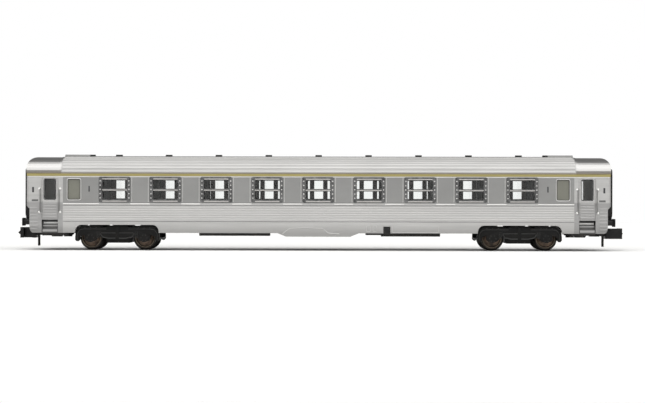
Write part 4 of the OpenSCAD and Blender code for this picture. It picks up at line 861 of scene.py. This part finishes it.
domes = grow(studs, mesh_of(feet), foot_painted_highlight, {"Radius": FOOT_R * MM, "Rise": FOOT_RISE * MM})
piece("handrails", both_sides(rails + [domes]), "coach")

# %% [markdown]
# ## Toilet windows
# The frosted panes at both ends of a side sit in a rim, whose lighter silver is a painted highlight,
# with a dark seal inside it. They are the same rounded rims as at the doors, with their size read
# off the pane.

# %% Rims of the toilet windows
TOILET_RIM_WIDER, TOILET_SEAL_BACK = 0.3, 0.03
toilet_size = toilets[0][1]
rims = rims_round([(c.x, -SIDE, c.z) for c, s in toilets], bead_painted_highlight, corner=0.5, thickness=0.2,
                  width=toilet_size.x + TOILET_RIM_WIDER, height=toilet_size.z + TOILET_RIM_WIDER)
seals = rims_round([(c.x, -SIDE + TOILET_SEAL_BACK, c.z) for c, s in toilets], print_dark,
                   corner=0.4, thickness=0.14, width=toilet_size.x, height=toilet_size.z)
piece("toilet_window_rims", both_sides([rims, seals]), "coach")

# %% [markdown]
# ## Plates and marks
# Printed marks are left blank: a plain bar near each toilet window, and a bar and a plate at each
# end of a side. Each is a thin block, so no lettering is needed to see where it sits.

# %% Blank plates and bars
MARK_OUT = 0.02
MARKS = [(60.4, 0.17, 15.5, 17.0, print_dark), (75.2, 0.25, 15.3, 16.7, print_dark),
         (74.7, 0.85, 12.95, 13.45, plate_grey)]
marks = [slab(x - half, x + half, -SIDE - MARK_OUT, -SIDE + SUNK, low, high, material)
         for place, half, low, high, material in MARKS for x in (-place, place)]
piece("blank_marks", both_sides(marks), "coach")

# %% [markdown]
# ## Pressings of the skirt
# The skirt carries one long pressed outline and three hatches. A wire and rounded rims follow
# the skirt's slope, so a small rule gives the face's place at any height.

# %% Pressed outline and hatches
SKIRT_FOOT, TUCK = 3.73, 0.25
OUTLINE = [(-9.4, 4.5), (-7.6, 5.9), (-3.6, 6.1), (1.2, 5.9), (2.6, 4.7), (5.6, 4.5)]
HATCH_Z, HATCHES = 5.7, [(13.2, 5.9, 1.0, 1.6), (14.9, 5.9, 0.9, 1.6), (25.6, 5.75, 12.2, 1.7)]


def skirt_y(z):
    """Where the skirt's face is at height z on the compartment side."""
    return -SIDE + TUCK * max(0.0, SKIRT_LINE - z) / (SKIRT_LINE - SKIRT_FOOT)


def edges_along(points):
    """The edges that join a row of points in order."""
    return [(i, i + 1) for i in range(len(points) - 1)]


outline = [(x, skirt_y(z), z) for x, z in OUTLINE]
pressed = grow(wire, mesh_of(outline, edges_along(outline)), rib_silver, {
    "Bend": 1.2 * MM, "Thickness": 0.22 * MM})
hatches = [rims_round([(x, skirt_y(HATCH_Z), z)], rib_silver, width, height,
                      corner=0.2, thickness=0.16) for x, z, width, height in HATCHES]
piece("skirt_pressings", both_sides([pressed] + hatches), "coach")

# %% [markdown]
# ## Door steps
# Each doorway has three steps. Each gets a thin strip of painted light for its lit face, brightest
# on the top step. Strips of their own leave the dark step below them as it is, and that dark is
# painted shade of the step well.

# %% Nosing strips
# Strips of painted light on the lit face of each riser, brightest on the top step.
NOSINGS = [(5.25, 0.6, 8.51, step_painted_light), (6.5, 0.35, 7.88, step_painted_light), (7.26, 0.45, 7.24, step_painted_highlight)]
NOSING_HALF, NOSING_OUT, NOSING_IN = 1.92, 0.03, 0.05
strips = [slab(x - NOSING_HALF, x + NOSING_HALF, -out - NOSING_OUT, -out + NOSING_IN,
               z - height / 2, z + height / 2, material)
          for x in door_xs for z, height, out, material in NOSINGS]
piece("step_painted_light_strips", both_sides(strips), "coach")

# %% [markdown]
# ## Roof ribs
# The roof's section is a superellipse: fuller than an ellipse, flatter on top. The path below
# samples it, and the tree lays one low rib on every millimetre of it, turned to face outwards.

# %% Ribs along the roof
ROOF_FULLNESS, ROOF_STEPS, ROOF_SKIP = 2.5, 60, 4
ROOF_RIB_WIDTH, ROOF_RIB_RISE, ROOF_RIB_PITCH, ROOF_RIB_SHORT = 0.6, 0.09, 1.06, 0.25
ROOF_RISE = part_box("roof")[1].z / MM - CANTRAIL
section = []
for i in range(ROOF_STEPS + 1):
    angle = math.radians(ROOF_SKIP + (180 - 2 * ROOF_SKIP) * i / ROOF_STEPS)
    across = math.copysign(abs(math.cos(angle)) ** (2 / ROOF_FULLNESS), math.cos(angle))
    section.append((0, -SIDE * across, CANTRAIL + ROOF_RISE * math.sin(angle) ** (2 / ROOF_FULLNESS)))
ribs = grow(shell_ribs, mesh_of(section, edges_along(section)), roof_rib_silver, {
    "Length": 2 * (HALF - ROOF_SMOOTH - ROOF_RIB_SHORT) * MM, "Width": ROOF_RIB_WIDTH * MM,
    "Rise": ROOF_RIB_RISE * MM, "Pitch": ROOF_RIB_PITCH * MM})
piece("roof_ribs", [ribs], "coach")

# %% [markdown]
# ## Painted shade along the roof's crest
# Two near-black bars beside the middle paint a fine dark line of shade along the roof's top edge.
# Each is one low bar of the same tree as the side's ribs.

# %% Two lines of painted shade along the top
CREST_SHADE_Y, CREST_SHADE_WIDTH, CREST_SHADE_HEIGHT = 1.05, 0.5, 0.34
crest_shade_bars = single_bars([(0, y, CANTRAIL + ROOF_RISE) for y in (-CREST_SHADE_Y, CREST_SHADE_Y)],
                    2 * (HALF - ROOF_SMOOTH), CREST_SHADE_HEIGHT, CREST_SHADE_WIDTH / 2, crest_shade_paint)
piece("roof_crest_shade_lines", [crest_shade_bars], "coach")

# %% [markdown]
# ## Edges that catch the light
# Moulded parts never have razor edges. A Bevel node in the material would only bend the light, so
# a merged copy of each CAD part listed below gets a small real bevel. It has the fine highlights of
# real plastic, and stands for the CAD part. The foot of the door steps is painted black.


# %% Rounded copies
FLAT_WITHIN, BEVEL_FROM, BEVEL_STEPS = math.radians(0.5), math.radians(35), 2


def bevelled(name, width):
    """A merged copy of a CAD node's mesh with its sharp edges bevelled."""
    bm = welded(name)
    bmesh.ops.dissolve_limit(bm, angle_limit=FLAT_WITHIN, verts=bm.verts, edges=bm.edges)
    bmesh.ops.recalc_face_normals(bm, faces=bm.faces)
    mesh = bpy.data.meshes.new(name + "_rounded")
    bm.to_mesh(mesh)
    bm.free()
    mesh.materials.append(cad[name].data.materials[0])
    made = bpy.data.objects.new(name + "_rounded", mesh)
    scene.collection.objects.link(made)
    bevel = made.modifiers.new("edges", "BEVEL")
    bevel.width = width * MM
    bevel.segments = BEVEL_STEPS
    bevel.limit_method = "ANGLE"
    bevel.angle_limit = BEVEL_FROM
    graph = bpy.context.evaluated_depsgraph_get()
    done = bpy.data.meshes.new_from_object(made.evaluated_get(graph))
    bpy.data.objects.remove(made)
    return done


def rounded(names, body, width, paint=()):
    """Bevelled copies of CAD nodes, each of which stands for its node.
    paint lists more materials, each with a test of a face's corners (mm) that says where it goes."""
    for name in names:
        done = bevelled(name, width)
        for number, (material, test) in enumerate(paint, 1):
            done.materials.append(material)
            for face in done.polygons:
                if test([done.vertices[i].co / MM for i in face.vertices]):
                    face.material_index = number
        piece(name + "_rounded", [done], body, smooth_angle=50, replaces=[name])


# %% Rounded parts of the coach and the bogies
SKIRT_Z = 4.64
rounded(["gangway_left", "gangway_right"], "coach", width=0.18)
rounded(["buffers_left", "buffers_right", "battery_boxes", "cabinets", "roof_vents", "roof_vent_boxes"],
        "coach", width=0.06)
rounded(["door_steps_left", "door_steps_right"], "coach", width=0.05,
        paint=[(materials["black_plastic"], lambda corners: max(c.z for c in corners) < SKIRT_Z)])
for side in ("left", "right"):
    rounded([f"bogie_frame_{side}"], f"bogie_{side}", width=0.08)

# %% [markdown]
# ## Wheels
# A wheel has a dark tread and flange, a browned rim and a bronze dish. All three are faces of one
# turned part, so each face is told apart by how far its outermost corner is from the axle. A
# face's middle would not do, because the middle of a ring-shaped face is on the axle.

# %% Rounded wheels
RIM_IN, RIM_OUT = 2.17, 2.78
dark_tread = finish("wheel_tread_dark", (0.02, 0.018, 0.016), (0.01, 0.009, 0.008), 0.4, 0.55, 0.3,
                    gloss=0.3)[0]
tan_dish = finish("wheel_dish_bronze", (0.2, 0.138, 0.096), (0.035, 0.026, 0.02), 0.35, 0.5, 0.6,
                  stretch=(620.0, 620.0, 620.0), contrast=3.2)[0]


def wheel_paint(number):
    """The tread's and the dish's finish, each with its test of a face's corners."""
    low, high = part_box(f"axle_{number}")
    axle = (low + high) / 2 / MM

    def reach(corners):
        """How far a face's outermost corner is from the axle's middle line."""
        return max(math.hypot(c.x - axle.x, c.z - axle.z) for c in corners)

    return [(dark_tread, lambda corners: reach(corners) > RIM_OUT),
            (tan_dish, lambda corners: reach(corners) < RIM_IN)]


for number in range(1, 5):
    rounded([f"wheels_{number}"], f"wheelset_{number}", width=0.04, paint=wheel_paint(number))

# %% [markdown]
# ## Couplers
# Each coupler is an arm that swings and a hook that lifts on it. The two are rounded one by one,
# because each rides on its own body.

# %% Rounded couplers
for side in ("left", "right"):
    rounded([f"coupler_arm_{side}"], f"coupler_arm_{side}", width=0.07)
for side in ("left", "right"):
    rounded([f"coupler_hook_{side}"], f"coupler_hook_{side}", width=0.09)

# %% [markdown]
# ## Relief on the bogies
# A cast side frame carries a raised line along its edge, a bowed bar below the middle, a straight
# tie above it, a coil spring beside each axle box, and bolts round each box cover. They are drawn
# once about the bogie's middle and then placed on each bogie. Their black is a little lighter than
# the frame's, a painted highlight on the raised edges.

# %% Side frame relief
EDGE_LINE = [(10.55, 2.9), (10.6, 4.4), (9.8, 5.5), (8.8, 5.65), (2.9, 5.65)]
BOW_BAR = [(-4.5, 4.5), (-3.9, 3.5), (-2.3, 3.2), (2.3, 3.2), (3.9, 3.5), (4.5, 4.5)]
TIE = [(-4.3, 4.6), (4.3, 4.6)]
SPRING_X, SPRING_Z, SPRING_COILS, SPRING_PITCH = 5.0, 3.45, 5, 0.34
COVER_OUT, BOLT_RING, BOLTS, WHEELBASE = 0.2, 0.82, 6, 14.2
RIVET_XS, RIVET_Z = (-8.6, -7.1, -5.6, 5.6, 7.1, 8.6), 6.0
# A lighter black than the frame, as a painted highlight on the relief.
relief_painted_highlight = finish("bogie_relief", (0.028, 0.028, 0.027), (0.014, 0.014, 0.013), 0.36, 0.5,
                   bump=0.2, gloss=0.28)[0]


def raised_line(points, middle_x, face_y, thickness, bend):
    """A wire on the frame's face along points about the bogie's middle."""
    line = [(middle_x + x, face_y, z) for x, z in points]
    return grow(wire, mesh_of(line, edges_along(line)), relief_painted_highlight, {
        "Bend": bend * MM, "Thickness": thickness * MM})


def frame_relief(middle_x, face_y, axle_z):
    """The relief of one side frame, facing -Y. face_y is the flat face of the frame."""
    made = [raised_line([(side * x, z) for x, z in EDGE_LINE], middle_x, face_y,
                        thickness=0.2, bend=0.8) for side in (-1, 1)]
    made.append(raised_line(BOW_BAR, middle_x, face_y, thickness=0.3, bend=0.5))
    made.append(raised_line(TIE, middle_x, face_y, thickness=0.2, bend=0.0))
    springs = mesh_of([(middle_x + side * SPRING_X, face_y, SPRING_Z) for side in (-1, 1)])
    made.append(grow(bars, springs, relief_painted_highlight, {
        "Length": 0.9 * MM, "Width": 0.2 * MM, "Rise": 0.12 * MM,
        "Pitch": SPRING_PITCH * MM, "Count": SPRING_COILS}))
    turns = [2 * math.pi * i / BOLTS for i in range(BOLTS)]
    bolts = [(middle_x + side * WHEELBASE / 2 + BOLT_RING * math.cos(a), face_y - COVER_OUT,
              axle_z + BOLT_RING * math.sin(a)) for side in (-1, 1) for a in turns]
    made.append(grow(studs, mesh_of(bolts), relief_painted_highlight, {"Radius": 0.13 * MM, "Rise": 0.06 * MM}))
    rivets = [(middle_x + x, face_y, RIVET_Z) for x in RIVET_XS]
    made.append(grow(studs, mesh_of(rivets), relief_painted_highlight, {"Radius": 0.14 * MM, "Rise": 0.06 * MM}))
    return made


AXLE_Z = (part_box("axle_1")[0].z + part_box("axle_1")[1].z) / 2 / MM
for side in ("left", "right"):
    low, high = (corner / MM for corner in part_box(f"bogie_frame_{side}"))
    middle = (low.x + high.x) / 2
    near = frame_relief(middle, low.y + COVER_OUT, AXLE_Z)
    far = [turned(mesh) for mesh in frame_relief(-middle, low.y + COVER_OUT, AXLE_Z)]
    piece(f"bogie_relief_{side}", near + far, f"bogie_{side}")

# %% [markdown]
# ## Bright ring on each wheel
# Where the dish meets the rim a fine turned edge shines, and a ring of lighter bronze paints that
# highlight. The rounded rectangle tree makes it: with a corner as large as half its width, the
# rectangle is a circle. The ring rides on its wheelset.

# %% Rings of the wheels
RING_R, RING_T = 2.42, 0.14
# The ring's lighter bronze is a painted highlight on the turned edge.
ring_painted_highlight = finish("wheel_ring_painted_highlight", (0.3, 0.24, 0.17), (0.12, 0.095, 0.068), 0.3, 0.45, 0.6,
                  stretch=(500.0, 500.0, 500.0), contrast=2.4)[0]
for number in range(1, 5):
    low, high = (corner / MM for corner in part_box(f"wheels_{number}"))
    middle = (low.x + high.x) / 2
    near, far = [rims_round([(x, low.y, AXLE_Z)], ring_painted_highlight, width=2 * RING_R, height=2 * RING_R,
                            corner=RING_R, thickness=RING_T) for x in (middle, -middle)]
    piece(f"wheel_rings_{number}", [near, turned(far)], f"wheelset_{number}")

# %% [markdown]
# ## Floor
# The floor is one plain pale disc, large enough that its edge stays out of sight. A disc of one
# face is enough, because nothing bends it.

# %% Floor
FLOOR_RADIUS = 0.55
floor_mesh = bpy.data.meshes.new("floor")
bm = bmesh.new()
bmesh.ops.create_circle(bm, cap_ends=True, segments=96, radius=FLOOR_RADIUS)
bm.to_mesh(floor_mesh)
bm.free()
pale_floor = finish("pale_floor", (0.93, 0.93, 0.925), (0.91, 0.91, 0.905), 0.6, 0.8,
                    stretch=(8.0, 8.0, 8.0), bump=0.02)[0]
floor_mesh.materials.append(pale_floor)
floor = bpy.data.objects.new("floor", floor_mesh)
scene.collection.objects.link(floor)
print("floor radius:", FLOOR_RADIUS, "m")

# %% [markdown]
# ## Light
# The world holds one large soft light, above and in front of the coach, that fades into a dim
# room. Lamps could do this too, but a bright patch of sky has no edge, so the roof ends carry a
# soft band and the shadow is soft. Where the eye sees the world, straight or through a pane, it
# is plain white.

# %% World
LOBE_UP, ROOM_DIM, LOBE_BRIGHT = math.radians(59), 0.22, 2.8
LOBE_FADE, LOBE_FULL = 0.5, 0.96
world = bpy.data.worlds.new("studio")
scene.world = world
world.use_nodes = True
tree = world.node_tree
tree.nodes.clear()
seen = put(tree, "ShaderNodeLightPath")
either = put(tree, "ShaderNodeMath", {
    0: seen.outputs["Is Camera Ray"], 1: seen.outputs["Is Transmission Ray"]}, operation="MAXIMUM")
toward = put(tree, "ShaderNodeTexCoord")
nearness = put(tree, "ShaderNodeVectorMath", {
    0: toward.outputs["Generated"], 1: (0.0, -math.cos(LOBE_UP), math.sin(LOBE_UP))},
    operation="DOT_PRODUCT")
lobe = put(tree, "ShaderNodeMapRange", {
    "Value": nearness.outputs["Value"], "From Min": LOBE_FADE, "From Max": LOBE_FULL,
    "To Min": ROOM_DIM, "To Max": LOBE_BRIGHT}, interpolation_type="SMOOTHSTEP")
dim = put(tree, "ShaderNodeBackground", {
    "Color": (1.0, 0.995, 0.985, 1), "Strength": lobe.outputs[0]})
white = put(tree, "ShaderNodeBackground", {"Color": (1, 1, 1, 1), "Strength": 1.0})
blend = put(tree, "ShaderNodeMixShader", {
    0: either.outputs[0], 1: dim.outputs[0], 2: white.outputs[0]})
put(tree, "ShaderNodeOutputWorld", {"Surface": blend.outputs[0]})
scene.view_settings.view_transform = "Standard"
print("world:", len(tree.nodes), "nodes")

# %% [markdown]
# ## Camera
# A long lens close to floor height, square on to the side and turned half a degree, keeps the
# coach's ends almost without perspective.

# %% Camera
LENS, SENSOR = 84.34, 36.0
PLACE = Vector((4.883, -406.648, 13.313)) * MM
YAW, PITCH, ROLL = math.radians(0.5394), math.radians(-0.042), math.radians(0.1167)
ahead = Vector((-math.sin(YAW) * math.cos(PITCH), math.cos(YAW) * math.cos(PITCH), math.sin(PITCH)))
level = ahead.cross(Vector((0, 0, 1))).normalized()
above = level.cross(ahead)
right = math.cos(ROLL) * level + math.sin(ROLL) * above
up = math.cos(ROLL) * above - math.sin(ROLL) * level
camera_data = bpy.data.cameras.new("camera")
camera_data.lens, camera_data.sensor_width = LENS, SENSOR
camera = bpy.data.objects.new("camera", camera_data)
scene.collection.objects.link(camera)
camera.matrix_world = Matrix.Translation(PLACE) @ Matrix((right, up, -ahead)).transposed().to_4x4()
scene.camera = camera
print("camera:", round(-PLACE.y / MM), "mm from the coach's middle")
